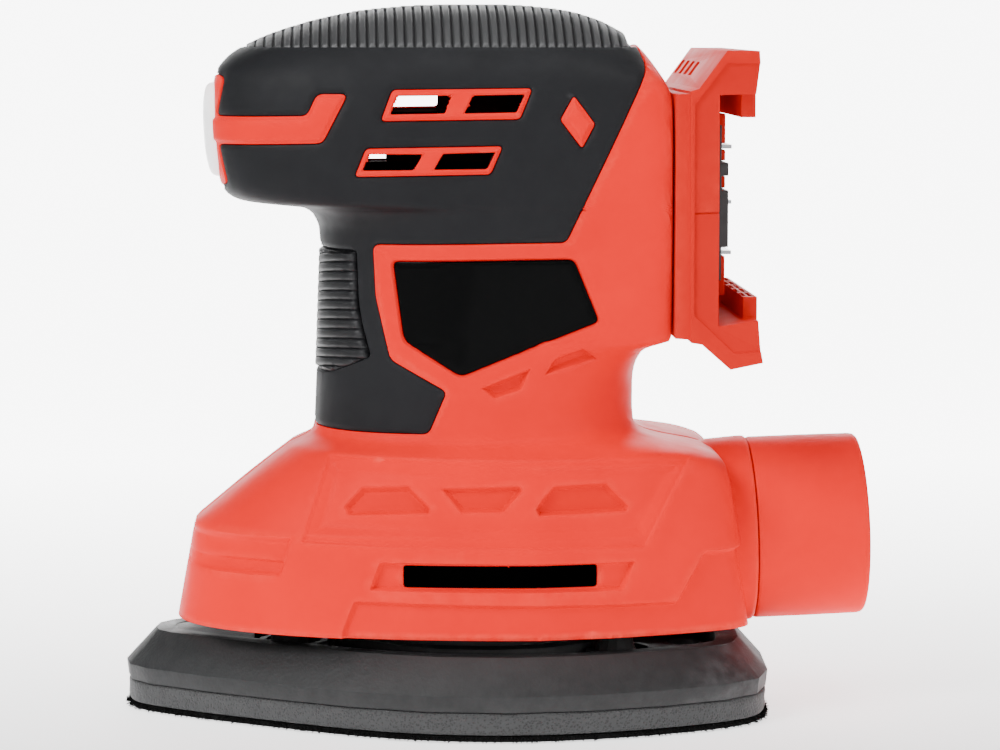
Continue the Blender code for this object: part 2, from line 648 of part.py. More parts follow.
def pad_plate():
    """Platen: bevelled tray with a bearing seat, a seal track and four leg sockets."""
    bm = bmesh.new()
    levels = ((PLATEN_BOTTOM, 0.4), (PLATEN_EDGE, 0.0), (PLATEN_TOP, 6.5))
    loops = []
    for z, inset in levels:
        loops.append([bm.verts.new((x, y, z)) for x, y in pad_outline(inset)])
    count = len(loops[0])
    for lower, upper in zip(loops, loops[1:]):
        for i in range(count):
            j = (i + 1) % count
            bm.faces.new((lower[i], lower[j], upper[j], upper[i]))
    bm.faces.new(loops[0])
    bm.faces.new(loops[-1])
    plate = place("pad_plate", finish_mesh("pad_plate", bm), "black_plastic")
    put_origin(plate, ORBIT, 0.0, PLATEN_BOTTOM)
    combine(plate, extruded("pad_pocket", [pad_outline(10.5)], PLATEN_FLOOR, 30.0))
    ring = [(33.0, PLATEN_TOP), (33.0, 8.0), (26.5, 8.0), (26.5, PLATEN_TOP)]
    combine(plate, turned("seal_track", ring, None, (ORBIT, 0, 0), segments=20), "UNION")
    seat = rods("bearing_seat", [((ORBIT, 0, 7.0), (ORBIT, 0, POST_TOP), 14.0)], segments=16)
    combine(plate, seat, "UNION")
    sockets = [(x + ORBIT, side * y) for x, y in PILLARS for side in (-1, 1)]
    posts = [((x, y, 8.0), (x, y, POST_TOP), 7.8) for x, y in sockets]
    combine(plate, rods("leg_posts", posts, segments=10), "UNION")
    wide = [((x, y, PLATEN_FLOOR), (x, y, 20.0), PILLAR_RADIUS + 1.6) for x, y in sockets]
    wide.append(((ORBIT, 0, BEARING_Z[0] - GAP), (ORBIT, 0, 20.0), BEARING_RADIUS + GAP))
    combine(plate, rods("platen_sockets", wide, segments=16))
    narrow = [((ORBIT, 0, 4.0), (ORBIT, 0, 8.5), 8.5)]
    for x, y in DUST_HOLES:
        for side in (-1, 1):
            hole = (x + ORBIT, side * y)
            narrow.append(((*hole, 4.0), (*hole, 11.0), DUST_HOLE_RADIUS))
    combine(plate, rods("platen_holes", narrow, segments=10))


def support_pillar(name, x, y):
    """Waisted rubber leg between the housing and the platen."""
    profile = [(0.0, 40.7), (PILLAR_RADIUS, 40.7), (PILLAR_RADIUS, 33.0), (3.4, 30.0), (3.4, 18.0),
               (PILLAR_RADIUS, 15.5), (PILLAR_RADIUS, 9.9), (0.0, 9.9)]
    turned(name, profile, "rubber", centre=(x, y, 0.0), segments=12)


# ---------------------------------------------------------------- drive
def eccentric():
    """Offset pin under the shaft, with a counterweight on the other side."""
    body = rods("eccentric", [((0, 0, 17.0), (0, 0, 26.4), 6.0)], "zinc", segments=20)
    pin = [((ORBIT, 0, 8.6), (ORBIT, 0, 17.6), PIN_RADIUS)]
    combine(body, rods("eccentric_pin", pin, segments=20), "UNION")
    weight = arc(21.0, 105, 255, 12) + arc(5.0, 255, 105, 4)
    combine(body, extruded("eccentric_weight", [weight], 17.5, 23.4), "UNION")
    bores = [
        ((0, 0, 19.0), (0, 0, 30.0), SHAFT_RADIUS + GAP),
        ((ORBIT, 0, 8.0), (ORBIT, 0, 16.0), 1.9),
    ]
    combine(body, rods("eccentric_bores", bores, segments=16))


def ball_bearing(name, centre, inner, outer, low, high, segments=16):
    """A shielded bearing: one ring with a shallow step on each face."""
    step = (outer - inner) * 0.22
    dip = 0.4
    profile = [
        (outer, high), (outer, low), (outer - step, low), (outer - step, low + dip),
        (inner + step, low + dip), (inner + step, low), (inner, low), (inner, high),
        (inner + step, high), (inner + step, high - dip), (outer - step, high - dip), (outer - step, high),
    ]
    turned(name, profile, "steel", centre=centre, segments=segments)


def bearing_screw():
    """Screw with a wide head that holds the bearing on the pin."""
    made = rods("bearing_screw", [((ORBIT, 0, 6.9), (ORBIT, 0, 8.2), 6.0)], "steel", segments=16)
    shank = [((ORBIT, 0, 8.0), (ORBIT, 0, 15.0), 1.6)]
    combine(made, rods("bearing_screw_shank", shank, segments=12), "UNION")
    drive = [((ORBIT, 0, 6.0), (ORBIT, 0, 7.6), 1.4)]
    combine(made, rods("bearing_screw_drive", drive, segments=6))


def fan():
    """Disc on a hub, with swept blades under it."""
    hub = [
        (6.6, 43.4), (FAN_RADIUS, 43.4), (FAN_RADIUS, 42.2), (7.2, 41.6), (6.6, 27.2),
        (SHAFT_RADIUS + GAP, 27.2), (SHAFT_RADIUS + GAP, 43.4),
    ]
    made = turned("fan", hub, "black_plastic", segments=24)
    blades = 8
    lean = Matrix.Rotation(math.radians(28), 4, "Z")
    blade = Matrix.Translation((17.0, 2.6, 35.8)) @ lean @ Matrix.Diagonal((19.0, 1.4, 13.2, 1.0))
    bm = bmesh.new()
    for i in range(blades):
        turn = Matrix.Rotation(2 * math.pi * i / blades, 4, "Z")
        bmesh.ops.create_cube(bm, size=1.0, matrix=turn @ blade)
    combine(made, place("fan_blades", finish_mesh("fan_blades", bm)), "UNION")


def motor_shaft():
    profile = [
        (0.0, 117.0), (2.0, 117.0), (SHAFT_RADIUS, 116.5), (SHAFT_RADIUS, 19.8), (2.0, 19.3),
        (0.0, 19.3),
    ]
    turned("motor_shaft", profile, "steel", segments=16)


def rotor_core():
    """Stack of ten-pole laminations."""
    outline = []
    for i in range(POLES):
        middle = 360 * i / POLES
        near_side = [(7.2, -14.0), (13.0, -8.0), (13.4, -14.5)]
        outline += [at_angle(radius, middle + angle) for radius, angle in near_side]
        outline += arc(14.6, middle - 14.5, middle + 14.5, 3)
        outline += [at_angle(radius, middle - angle) for radius, angle in reversed(near_side)]
    bore = arc(SHAFT_RADIUS + GAP, 0, 330, 11)
    extruded("rotor_core", [outline, bore], 63.0, 88.0, finish="dark_steel")


def at_angle(radius, degrees):
    return radius * math.cos(math.radians(degrees)), radius * math.sin(math.radians(degrees))


def rotor_windings():
    """End turns above and below the laminations, joined by the coil sides in the slots."""
    made = end_turns("rotor_windings", 88.4, 93.6, "copper")
    combine(made, end_turns("lower_end_turns", 57.4, 62.6), "UNION")
    bars = []
    for i in range(POLES):
        x, y = at_angle(10.2, 360 * (i + 0.5) / POLES)
        bars.append(((x, y, 60.0), (x, y, 90.0), 1.25))
    combine(made, rods("coil_sides", bars, segments=5), "UNION")


def end_turns(name, low, high, finish=None):
    profile = [
        (6.5, high), (9.5, high), (12.4, high - 1.5), (12.4, low + 1.5), (9.5, low), (6.5, low),
    ]
    return turned(name, profile, finish, segments=14)


def commutator():
    """Copper bars round the shaft, with a groove between each two."""
    outline = []
    for i in range(POLES):
        middle = 360 * i / POLES
        outline += arc(6.2, middle - 16, middle + 16, 2)
        outline += [at_angle(5.6, middle + 16.5), at_angle(5.6, middle + 19.5)]
    bore = arc(SHAFT_RADIUS + GAP, 0, 330, 11)
    extruded("commutator", [outline, bore], 94.2, 102.6, finish="copper")


def magnet(name, middle):
    """Curved magnet inside the can, centred on a direction in degrees."""
    outline = arc(17.1, middle - 68, middle + 68, 14) + arc(15.3, middle + 68, middle - 68, 14)
    extruded(name, [outline], 57.0, 93.0, finish="magnet")


def motor_can():
    """Steel cup, open at the top, with the lower bearing seat in its floor."""
    low, high = CAN_Z
    profile = [
        (CAN_RADIUS, high), (CAN_RADIUS, low + 1.0), (CAN_RADIUS - 1.0, low), (5.8, low), (5.8, low + 4.0),
        (7.2, low + 4.0), (7.2, low + 1.5), (CAN_RADIUS - 1.5, low + 1.5), (CAN_RADIUS - 1.5, high),
    ]
    turned("motor_can", profile, "dark_steel", segments=24)


def motor_end_cap():
    """Plastic cap over the can, with the upper bearing seat and the two brush holders."""
    low = CAN_Z[1] + GAP
    profile = [
        (9.0, low + 8.0), (9.0, low + 4.0), (16.0, low + 4.0), (18.6, low + 2.5), (18.6, low),
        (17.0, low), (17.0, low - 3.0), (15.6, low - 3.0), (15.6, low), (5.8, low), (5.8, low + 8.0),
    ]
    cap = turned("motor_end_cap", profile, "black_plastic", segments=24)
    for side in (-1, 1):
        near, far = sorted((side * 7.2, side * 14.6))
        holder = box(f"brush_holder_{side}", (near, -3.6, 95.6), (far, 3.6, low + 1.0))
        combine(cap, holder, "UNION")
    for side in (-1, 1):
        near, far = sorted((side * 6.0, side * 13.6))
        combine(cap, box(f"brush_slot_{side}", (near, -2.3, 96.7), (far, 2.3, 101.9)))


def brush(name, side):
    near, far = sorted((side * 6.6, side * 13.2))
    box(name, (near, -2.0, 97.0), (far, 2.0, 101.6), "carbon")


def motor():
    motor_shaft()
    rotor_core()
    rotor_windings()
    commutator()
    motor_can()
    magnet("magnet_left", -90)
    magnet("magnet_right", 90)
    motor_end_cap()
    brush("brush_front", -1)
    brush("brush_rear", 1)
    ball_bearing("lower_bearing", (0, 0, 0), 2.8, 5.5, 50.7, 54.3, segments=12)
    ball_bearing("upper_bearing", (0, 0, 0), 2.8, 5.5, 106.6, 110.6, segments=12)
    mount = [(17.5, 50.2), (17.5, 48.5), (9.5, 48.5), (9.5, 50.2)]
    turned("motor_mount", mount, "rubber", segments=24)


# ---------------------------------------------------------------- dust outlet
def outlet_turned(name, profile, finish, segments=28):
    """Turn (radius, distance along the outlet) points about the outlet axis."""
    made = turned(name, profile, finish, segments=segments, tilt=math.pi / 2 - OUTLET_TILT)
    made.location = Vector(outlet_point(0)) * MM
    return made


def dust_nozzle():
    """Hose adaptor: a round outlet with a grooved spigot that plugs into the neck."""
    start = NECK_END + GAP
    spigot = DUCT_RADIUS - GAP
    profile = [
        (18.0, NOZZLE_END), (19.6, NOZZLE_END), (OUTLET_RADIUS, NOZZLE_END - 0.4),
        (OUTLET_RADIUS, start + 1.2), (OUTLET_RADIUS - 1.2, start), (spigot, start),
        (spigot, 54.0), (spigot - SEAL_DEPTH, 54.0), (spigot - SEAL_DEPTH, 51.4), (spigot, 51.4),
        (spigot, 47.0), (14.6, 46.0), (14.6, start), (18.0, start + 4.0),
    ]
    outlet_turned("dust_nozzle", profile, "orange_plastic")


def nozzle_seal():
    """Ring in the groove of the spigot."""
    inner = DUCT_RADIUS - GAP - SEAL_DEPTH + 0.25
    outer = DUCT_RADIUS - HALF_GAP
    profile = [(outer, 53.6), (outer, 51.8), (inner, 51.8), (inner, 53.6)]
    outlet_turned("nozzle_seal", profile, "rubber", segments=20)


# ---------------------------------------------------------------- battery dock
def battery_dock():
    """Channel across the rear that a battery pack slides into, plugged into the clamshell."""
    dock = extruded("battery_dock", [DOCK_OUTLINE], -DOCK_HALF, DOCK_HALF, "XZ", "orange_plastic")
    edge = DOCK_HALF - 0.2
    back = [(DOCK_X, -33.2), (43.2, -edge), (43.2, edge), (DOCK_X, 33.2)]
    combine(dock, extruded("dock_back", [back], 83.0, 134.4), "UNION")
    for i, (near, far, low, high) in enumerate(DOCK_LIPS):
        combine(dock, box(f"dock_lip_{i}", (near, -LIP_HALF, low), (far, LIP_HALF, high)), "UNION")
    stop = box("dock_stop", (DOCK_WALL - 1.0, 32.8, 84.0), (56.4, DOCK_HALF - 0.1, 136.0))
    combine(dock, stop, "UNION")
    combine(dock, box("dock_plug", (34.0, -15.7, 96.3), (41.0, 15.7, 123.7)), "UNION")
    combine(dock, box("dock_flange", (31.6, -19.0, 93.5), (34.8, 19.0, 126.5)), "UNION")
    combine(dock, box("dock_lead_way", (20.0, -8.0, 104.0), (52.0, 8.0, 118.0)))


def terminal_block():
    """Carrier on the dock wall, with a slot for each blade."""
    near = DOCK_WALL + GAP
    block = box("terminal_block", (near, -17.0, 94.0), (52.7, 17.0, 127.4), "black_plastic")
    for name, z in BLADES:
        slot = box(f"blade_slot_{name}", (near - 1.0, -13.3, z - 0.75), (60.0, 13.3, z + 0.75))
        combine(block, slot)
    for i, (low, high) in enumerate(BLOCK_STEPS):
        combine(block, box(f"block_step_{i}", (51.2, -30.0, low), (60.0, 30.0, high)))


def terminal(name, z):
    box(name, (DOCK_WALL + GAP, -13.0, z - 0.4), (53.8, 13.0, z + 0.4), "steel")


# ---------------------------------------------------------------- switch and electrics
def switch():
    """Rocker on its side-to-side axis, in the off position, with its body and soft boot."""
    x, z = ROCKER_AXIS
    outline = [(-3.6, -4.8), (-3.6, 4.8), (0.5, 4.8), (3.0, 2.0), (3.0, -2.0), (0.5, -4.8)]
    rocker = extruded("switch_rocker", [outline], -5.8, 5.8, "XZ", "black_plastic")
    turn = Matrix.Rotation(ROCKER_TILT, 4, "Y")
    rocker.matrix_world = Matrix.Translation((x * MM, 0.0, z * MM)) @ turn @ rocker.matrix_world
    box("switch_body", (-48.8, -7.4, 122.4), (-37.0, 8.4, 133.4), "black_plastic")
    boot = box("switch_boot", (-59.1, -10.0, 115.6), (-57.85, 10.0, 137.0), "clear_rubber")
    bevel(boot, 0.5)
    combine(boot, box("boot_neck", (-58.4, -7.4, 119.6), (-50.6, 7.4, 132.4)), "UNION")
    combine(boot, box("boot_hollow", (-58.2, -6.5, 120.5), (-40.0, 6.5, 131.5)))


def control_board():
    """Circuit board under the top of the head, with three components."""
    board = box("control_board", (-22.0, -13.0, 138.2), (22.0, 13.0, 139.8), "board_green")
    parts = (
        ((-16, -8, 139), (-6, 6, 142.2)), ((2, -9, 139), (10, 0, 142.6)), ((12, 3, 139), (18, 9, 141.6)),
    )
    for i, (low, high) in enumerate(parts):
        combine(board, box(f"board_part_{i}", low, high), "UNION")


def leads():
    """Two leads each from the board to the dock, the motor and the switch."""
    routes = {
        "battery_lead": ((30.2, 5.0, 119.5), (27.6, 5.0, 124.0), (26.2, 5.0, 130.0),
                         (25.8, 5.0, 135.5), (24.6, 5.0, 138.4), (22.4, 5.0, 139.0)),
        "motor_lead": ((9.0, 9.0, 137.8), (10.0, 10.0, 131.0), (13.0, 9.0, 119.0), (14.0, 6.0, 109.0)),
        "switch_lead": ((-36.6, 4.0, 129.0), (-32.0, 4.3, 131.6), (-28.0, 4.8, 136.6),
                        (-22.5, 5.0, 139.0)),
    }
    for pole, side, finish in (("positive", -1, "red_wire"), ("negative", 1, "black_wire")):
        for name, route in routes.items():
            tube(f"{name}_{pole}", [(x, side * y, z) for x, y, z in route], LEAD_RADIUS, finish)


# ---------------------------------------------------------------- assembly
def build():
    housing("housing_left", -1)
    screw_pockets(housing("housing_right", 1))
    grip_cover("grip_cover_left", -1)
    screw_pockets(grip_cover("grip_cover_right", 1))
    badge("badge_left", -1)
    badge("badge_right", 1)
    for i, (x, z) in enumerate(SCREWS, 1):
        housing_screw(f"housing_screw_{i}", x, z)
    base_cover()
    dust_seal()
    pad_plate()
    pad_layer("foam_pad", 0.8, HOOK_TOP + GAP, FOAM_TOP, "grey_foam")
    pad_layer("hook_pad", 1.2, 0.0, HOOK_TOP, "hook_fabric")
    for end, (x, y) in zip(("front", "rear"), PILLARS):
        support_pillar(f"support_pillar_{end}_left", x, -y)
        support_pillar(f"support_pillar_{end}_right", x, y)
    eccentric()
    ball_bearing("eccentric_bearing", (ORBIT, 0, 0), PIN_RADIUS + GAP, BEARING_RADIUS, *BEARING_Z)
    bearing_screw()
    fan()
    motor()
    dust_nozzle()
    nozzle_seal()
    battery_dock()
    terminal_block()
    for name, z in BLADES:
        terminal(f"terminal_{name}", z)
    switch()
    control_board()
    leads()


clear_scene()
PARTS = new_collection("detail_sander")
CUTTERS = new_collection("cutters")
build()
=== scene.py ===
"""Looks of a cordless detail sander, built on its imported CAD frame.

Lengths are in millimetres and MM turns them into metres. The nose points along -X, the left side
of the tool faces -Y and +Z is up.
"""

import json
import math

import bmesh
import bpy
import numpy as np
from mathutils import Matrix, Vector, kdtree
from mathutils.geometry import delaunay_2d_cdt

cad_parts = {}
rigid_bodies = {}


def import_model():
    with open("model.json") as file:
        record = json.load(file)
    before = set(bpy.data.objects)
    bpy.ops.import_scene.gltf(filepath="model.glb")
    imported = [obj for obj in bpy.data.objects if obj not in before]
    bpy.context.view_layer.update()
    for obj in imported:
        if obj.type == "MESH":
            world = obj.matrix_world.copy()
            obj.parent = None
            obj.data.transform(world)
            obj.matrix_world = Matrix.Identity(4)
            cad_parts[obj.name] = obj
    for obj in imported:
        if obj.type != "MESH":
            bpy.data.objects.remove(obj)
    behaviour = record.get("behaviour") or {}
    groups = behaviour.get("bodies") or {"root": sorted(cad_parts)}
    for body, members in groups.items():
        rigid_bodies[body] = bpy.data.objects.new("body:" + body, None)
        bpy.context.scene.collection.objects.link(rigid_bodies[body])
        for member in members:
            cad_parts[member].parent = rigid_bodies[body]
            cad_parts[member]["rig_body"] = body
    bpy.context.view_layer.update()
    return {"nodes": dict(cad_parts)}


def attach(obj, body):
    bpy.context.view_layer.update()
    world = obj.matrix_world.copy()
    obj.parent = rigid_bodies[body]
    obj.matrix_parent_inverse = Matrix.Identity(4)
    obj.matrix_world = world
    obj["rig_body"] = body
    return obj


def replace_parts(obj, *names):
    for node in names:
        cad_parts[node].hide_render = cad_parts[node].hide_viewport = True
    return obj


MM = 0.001
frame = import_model()
NODES = frame["nodes"]

# ---------------------------------------------------------------- body form
# z, front x, rear x, half width, widest point, two powers of the front, taper and power of the rear
STATIONS = np.array((
    (20.0, -66.5, 58.7, 41.0, 0.62, 1.9, 2.4, 0.34, 10.0),
    (41.0, -62.7, 54.9, 40.6, 0.62, 1.9, 2.4, 0.32, 10.0),
    (50.0, -51.8, 53.4, 39.8, 0.60, 1.9, 2.4, 0.28, 10.0),
    (54.6, -45.9, 52.2, 39.2, 0.58, 1.9, 2.4, 0.23, 9.0),
    (56.6, -43.2, 50.6, 38.4, 0.58, 1.9, 2.4, 0.21, 8.5),
    (57.9, -41.6, 46.8, 36.6, 0.56, 2.0, 2.3, 0.18, 8.0),
    (59.2, -38.6, 39.8, 32.6, 0.52, 2.1, 2.2, 0.10, 5.0),
    (60.3, -36.8, 35.5, 29.4, 0.50, 2.2, 2.2, 0.00, 3.0),
    (62.0, -36.4, 33.6, 28.4, 0.50, 2.2, 2.2, 0.00, 2.7),
    (66.0, -36.2, 33.3, 28.0, 0.50, 2.2, 2.2, 0.00, 2.6),
    (73.0, -35.9, 33.3, 28.1, 0.50, 2.2, 2.2, 0.00, 2.8),
    (76.5, -35.7, 33.9, 28.2, 0.50, 2.2, 2.2, -0.01, 3.2),
    (79.6, -35.6, 35.4, 28.3, 0.50, 2.2, 2.2, -0.03, 4.4),
    (81.2, -35.5, 37.4, 28.4, 0.50, 2.2, 2.2, -0.06, 10.0),
    (82.1, -35.5, 39.5, 28.5, 0.50, 2.2, 2.2, -0.08, 30.0),
    (100.0, -34.8, 39.5, 29.40, 0.50, 2.2, 2.2, -0.080, 40.0),
    (105.4, -35.2, 39.5, 29.84, 0.50, 2.2, 2.3, -0.072, 40.0),
    (108.2, -36.6, 39.5, 30.06, 0.50, 2.2, 2.4, -0.067, 40.0),
    (109.5, -38.8, 39.5, 30.16, 0.50, 2.2, 2.4, -0.065, 40.0),
    (110.15, -42.5, 39.5, 30.21, 0.50, 2.3, 2.6, -0.064, 40.0),
    (110.4, -48.0, 39.5, 30.24, 0.50, 2.35, 2.8, -0.064, 40.0),
    (110.95, -52.4, 39.5, 30.28, 0.50, 2.4, 2.9, -0.063, 40.0),
    (112.6, -55.3, 39.5, 30.40, 0.50, 2.45, 3.0, -0.060, 40.0),
    (115.5, -56.7, 39.5, 30.64, 0.50, 2.5, 3.0, -0.056, 40.0),
    (120.0, -57.3, 39.5, 31.00, 0.50, 2.5, 3.1, -0.049, 40.0),
    (126.0, -57.7, 39.5, 31.00, 0.50, 2.5, 3.2, -0.040, 40.0),
    (134.0, -57.9, 39.5, 30.0, 0.50, 2.5, 3.2, -0.02, 30.0),
    (138.4, -57.6, 37.8, 28.4, 0.50, 2.5, 3.0, 0.00, 8.0),
    (141.5, -55.4, 36.2, 26.0, 0.50, 2.45, 2.8, 0.00, 5.0),
    (143.9, -52.4, 34.4, 23.5, 0.50, 2.4, 2.6, 0.00, 4.0),
    (148.0, -43.0, 30.2, 17.8, 0.48, 2.2, 2.3, 0.00, 3.0),
    (151.5, -29.5, 21.5, 10.3, 0.48, 2.1, 2.1, 0.00, 2.6),
    (152.7, -19.0, 13.0, 5.0, 0.48, 2.0, 2.0, 0.00, 2.3),
    (153.1, -10.0, 6.0, 1.0, 0.48, 2.0, 2.0, 0.00, 2.2),
))
BOTTOM, TOP = STATIONS[0, 0], STATIONS[-1, 0]
# z, and over how many mm the form is rounded off there
ROUNDING = np.array(((20, 0.5), (45, 0.8), (52, 0.8), (57, 0.35), (60, 0.5), (64, 1.2), (76, 1.6), (82, 0.4),
                     (86, 2.0), (100, 2.0), (104, 1.0), (109, 0.45), (113, 0.8), (120, 3.0), (133, 2.5),
                     (140, 1.8), (149, 2.2), (153, 0.4)), float)
TILT = math.radians(2.0)  # the outlet axis rises towards the rear
OUTLET_Z = 35.8  # its height over the origin
LEVELS = 700
ROUND_STEPS = 401
AROUND = 125.0  # stand-in length of the section of one half, used to space points evenly


def evenly(line, count, closed=False):
    """Points evenly spaced along a line of points, and how far along it each is."""
    if closed:
        line = np.concatenate([line, line[:1]])
    run = np.concatenate([[0], np.cumsum(np.hypot(*np.diff(line, axis=0).T))])
    even = np.linspace(0, run[-1], count, endpoint=not closed)
    return np.stack([np.interp(even, run, column) for column in line.T], -1), even


def rounded_station(z):
    """The columns of STATIONS at a level, averaged over the rounding length there."""
    reach = float(np.interp(z, ROUNDING[:, 0], ROUNDING[:, 1]))
    reach = max(min(reach, z - BOTTOM, TOP - z), 1e-6)
    heights = z + reach * np.linspace(-1, 1, 21)
    return [float(np.interp(heights, STATIONS[:, 0], column).mean()) for column in STATIONS.T[1:]]


def section(z):
    """x and half width of one half of the section at a level, evenly spaced from nose to rear."""
    front, rear, half, widest, power, root, taper, corner = rounded_station(z)
    middle = front + (rear - front) * widest
    angle = np.linspace(0, math.pi / 2, 500)
    along = np.cos(angle) ** (2 / power)
    along[-1] = 0.0
    x_front = middle - (middle - front) * along
    y_front = half * np.sin(angle) ** (2 / root)
    along = np.sin(angle) ** (2 / corner)
    across = np.cos(angle) ** (2 / corner)
    across[-1] = 0.0
    x_rear = middle + (rear - middle) * along
    y_rear = half * (1 - taper * along ** 1.5) * across
    line = np.stack([np.concatenate([x_front, x_rear[1:]]), np.concatenate([y_front, y_rear[1:]])], -1)
    return evenly(line, ROUND_STEPS)[0].T


LEVEL_Z = np.linspace(BOTTOM, TOP, LEVELS)
SPREAD = np.linspace(0, 1, ROUND_STEPS)  # t of each column of the tables
TABLE_X, TABLE_Y = (np.array(t) for t in zip(*(section(z) for z in LEVEL_Z)))
SLOPE = np.hypot(np.gradient(TABLE_Y.max(1), LEVEL_Z), 0.7 * np.gradient(TABLE_X[:, 0], LEVEL_Z))
LEVEL_V = np.concatenate([[0], np.cumsum(np.sqrt(1 + SLOPE ** 2)[1:] * np.diff(LEVEL_Z))])  # way up the surface
HEIGHT = float(LEVEL_V[-1])


def row_of(z):
    """The nearest row of the tables to a level, or to each of several."""
    return np.clip(np.round((z - BOTTOM) / (TOP - BOTTOM) * (LEVELS - 1)).astype(int), 0, LEVELS - 1)


def lookup(table, t, z):
    """Bilinear reading of a table at t (0 nose to 1 rear) and level z."""
    i = np.clip((z - BOTTOM) / (TOP - BOTTOM) * (LEVELS - 1), 0, LEVELS - 1.0001)
    j = np.clip(t * (ROUND_STEPS - 1), 0, ROUND_STEPS - 1.0001)
    i0, j0 = i.astype(int), j.astype(int)
    a, b = i - i0, j - j0
    low = table[i0, j0] * (1 - b) + table[i0, j0 + 1] * b
    high = table[i0 + 1, j0] * (1 - b) + table[i0 + 1, j0 + 1] * b
    return low * (1 - a) + high * a


def surface(t, z):
    """Points on the left side of the body."""
    return np.stack([lookup(TABLE_X, t, z), -lookup(TABLE_Y, t, z), z], -1)


def surface_normal(t, z):
    """Outward normals on the left side of the body."""
    dt, dz = 0.004, 0.25
    along = surface(np.clip(t + dt, 0, 1), z) - surface(np.clip(t - dt, 0, 1), z)
    up = surface(t, np.clip(z + dz, BOTTOM, TOP)) - surface(t, np.clip(z - dz, BOTTOM, TOP))
    normal = np.cross(along, up)
    normal[(t < 1e-4) | (t > 1 - 1e-4), 1] = 0.0
    return normal / np.maximum(np.linalg.norm(normal, axis=-1, keepdims=True), 1e-9)


def place_of(x, z):
    """t of the point of the left side that is seen at (x, z) from the side."""
    return np.array([np.interp(a, TABLE_X[row], SPREAD) for a, row in zip(x, row_of(z))])


def on_front(y, z, column):
    """Reading of x or t at the point of the front that lies y from the middle plane at level z."""
    row = row_of(np.float64(z))
    widest = int(TABLE_Y[row].argmax())
    values = TABLE_X[row] if column == "x" else SPREAD
    return float(np.interp(abs(y), TABLE_Y[row, :widest], values[:widest]))


def half_width(x, z):
    """Distance from the middle plane to the side of the body at (x, z)."""
    t = place_of(np.array([x]), np.array([z]))
    return float(lookup(TABLE_Y, t, np.array([z]))[0])


# ---------------------------------------------------------------- outlines on the side, as (x, z)
GRIP_OUTLINE = (
    (-8.1, 71.4), (-12.0, 62.3), (-75.0, 61.7), (-75.0, 114.2), (-54.8, 114.6), (-56.8, 123.5),
    (-34.3, 124.1), (-29.0, 134.3), (-35.3, 134.3), (-37.4, 129.7), (-57.2, 129.3), (-55.3, 138.0),
    (-75.0, 138.6), (-75.0, 170.0), (33.0, 170.0), (33.6, 144.5), (34.7, 140.4), (17.0, 103.0),
    (-23.6, 102.3), (-23.1, 91.4), (-20.1, 78.1),
)
BADGE_OUTLINE = (
    (-20.4, 99.3), (18.9, 100.0), (24.6, 86.0), (-5.3, 74.0), (-18.0, 81.9),
)
DIAMOND = ((18.5, 133.9), (22.8, 128.1), (20.1, 123.1), (15.7, 129.0))
VENT_FRAMES = (
    ((-19.5, 135.2), (9.7, 135.5), (7.1, 129.2), (-21.9, 128.8)),
    ((-25.1, 122.9), (3.4, 123.4), (0.9, 117.6), (-27.4, 117.1)),
)
WINDOWS = (
    ((-18.6, 133.9), (-7.1, 134.0), (-8.6, 130.3), (-20.0, 130.1)),
    ((-2.7, 134.0), (8.2, 134.2), (6.4, 130.5), (-4.5, 130.3)),
    ((-24.5, 121.8), (-13.2, 121.8), (-15.1, 118.5), (-25.9, 118.4)),
    ((-9.0, 121.9), (2.0, 122.2), (0.2, 118.7), (-10.9, 118.6)),
)
RECESSES = (
    ((-30.9, 48.2), (-27.1, 52.4), (-17.0, 52.8), (-12.3, 48.2), (-12.5, 46.8), (-30.0, 46.2)),
    ((-10.4, 52.3), (6.9, 52.9), (7.5, 51.6), (3.3, 47.0), (-5.8, 46.9)),
    ((9.8, 47.9), (14.1, 52.8), (25.5, 53.1), (30.7, 47.8), (30.3, 46.5), (11.0, 46.1)),
    ((-1.2, 72.2), (9.9, 76.5), (7.9, 71.6), (2.0, 69.7)),
    ((12.3, 74.6), (14.6, 78.4), (20.8, 80.7), (24.3, 78.0)),
)
SLOT_FRAME = ((-22.7, 36.5), (-24.9, 30.4), (28.8, 30.2), (31.4, 36.3))
SLOT = ((-18.1, 31.0), (23.5, 31.0), (23.5, 35.8), (-18.1, 35.8))
SIDE_PANEL = ((-38.6, 41.6), (-33.6, 57.6), (42.4, 57.2), (33.4, 40.8))
LEDGE = (
    (-31.0, 15.0), (-30.7, 21.2), (-28.1, 28.1), (40.4, 27.2), (46.4, 37.4), (75.0, 37.0), (75.0, 15.0),
)
PANEL_RIM = ((-39.4, 39.8), (-33.4, 58.0), (43.4, 57.6), (33.6, 39.0))
NOSE_STEP = ((-80.0, 39.8), (-40.8, 40.9), (-43.6, 32.4), (-80.0, 31.7))
NOSE_STEP_LOWER = ((-80.0, 35.4), (-42.4, 35.8), (-43.6, 32.4), (-80.0, 31.7))
RIB_PANEL = (
    (-75.0, 101.5), (-27.0, 101.2), (-26.6, 90.2), (-25.9, 85.5), (-24.0, 78.3), (-33.4, 73.9),
    (-75.0, 72.6),
)
CROWN = ((-90.0, 144.0), (-90.0, 175.0), (90.0, 175.0), (90.0, 144.0))
SCREWS = ((-45.2, 117.2), (34.2, 131.8), (-24.6, 104.4), (-24.6, 68.2), (26.0, 72.0),
          (-52.0, 33.0), (26.5, 108.0))
SCREW_SEAT = 12.0
WELL_RADIUS = 3.6


def corners_of(points):
    """Each corner of a closed outline, between the one before it and the one after it."""
    corners = [Vector(point) for point in points]
    return zip(corners[-1:] + corners[:-1], corners, corners[1:] + corners[:1])


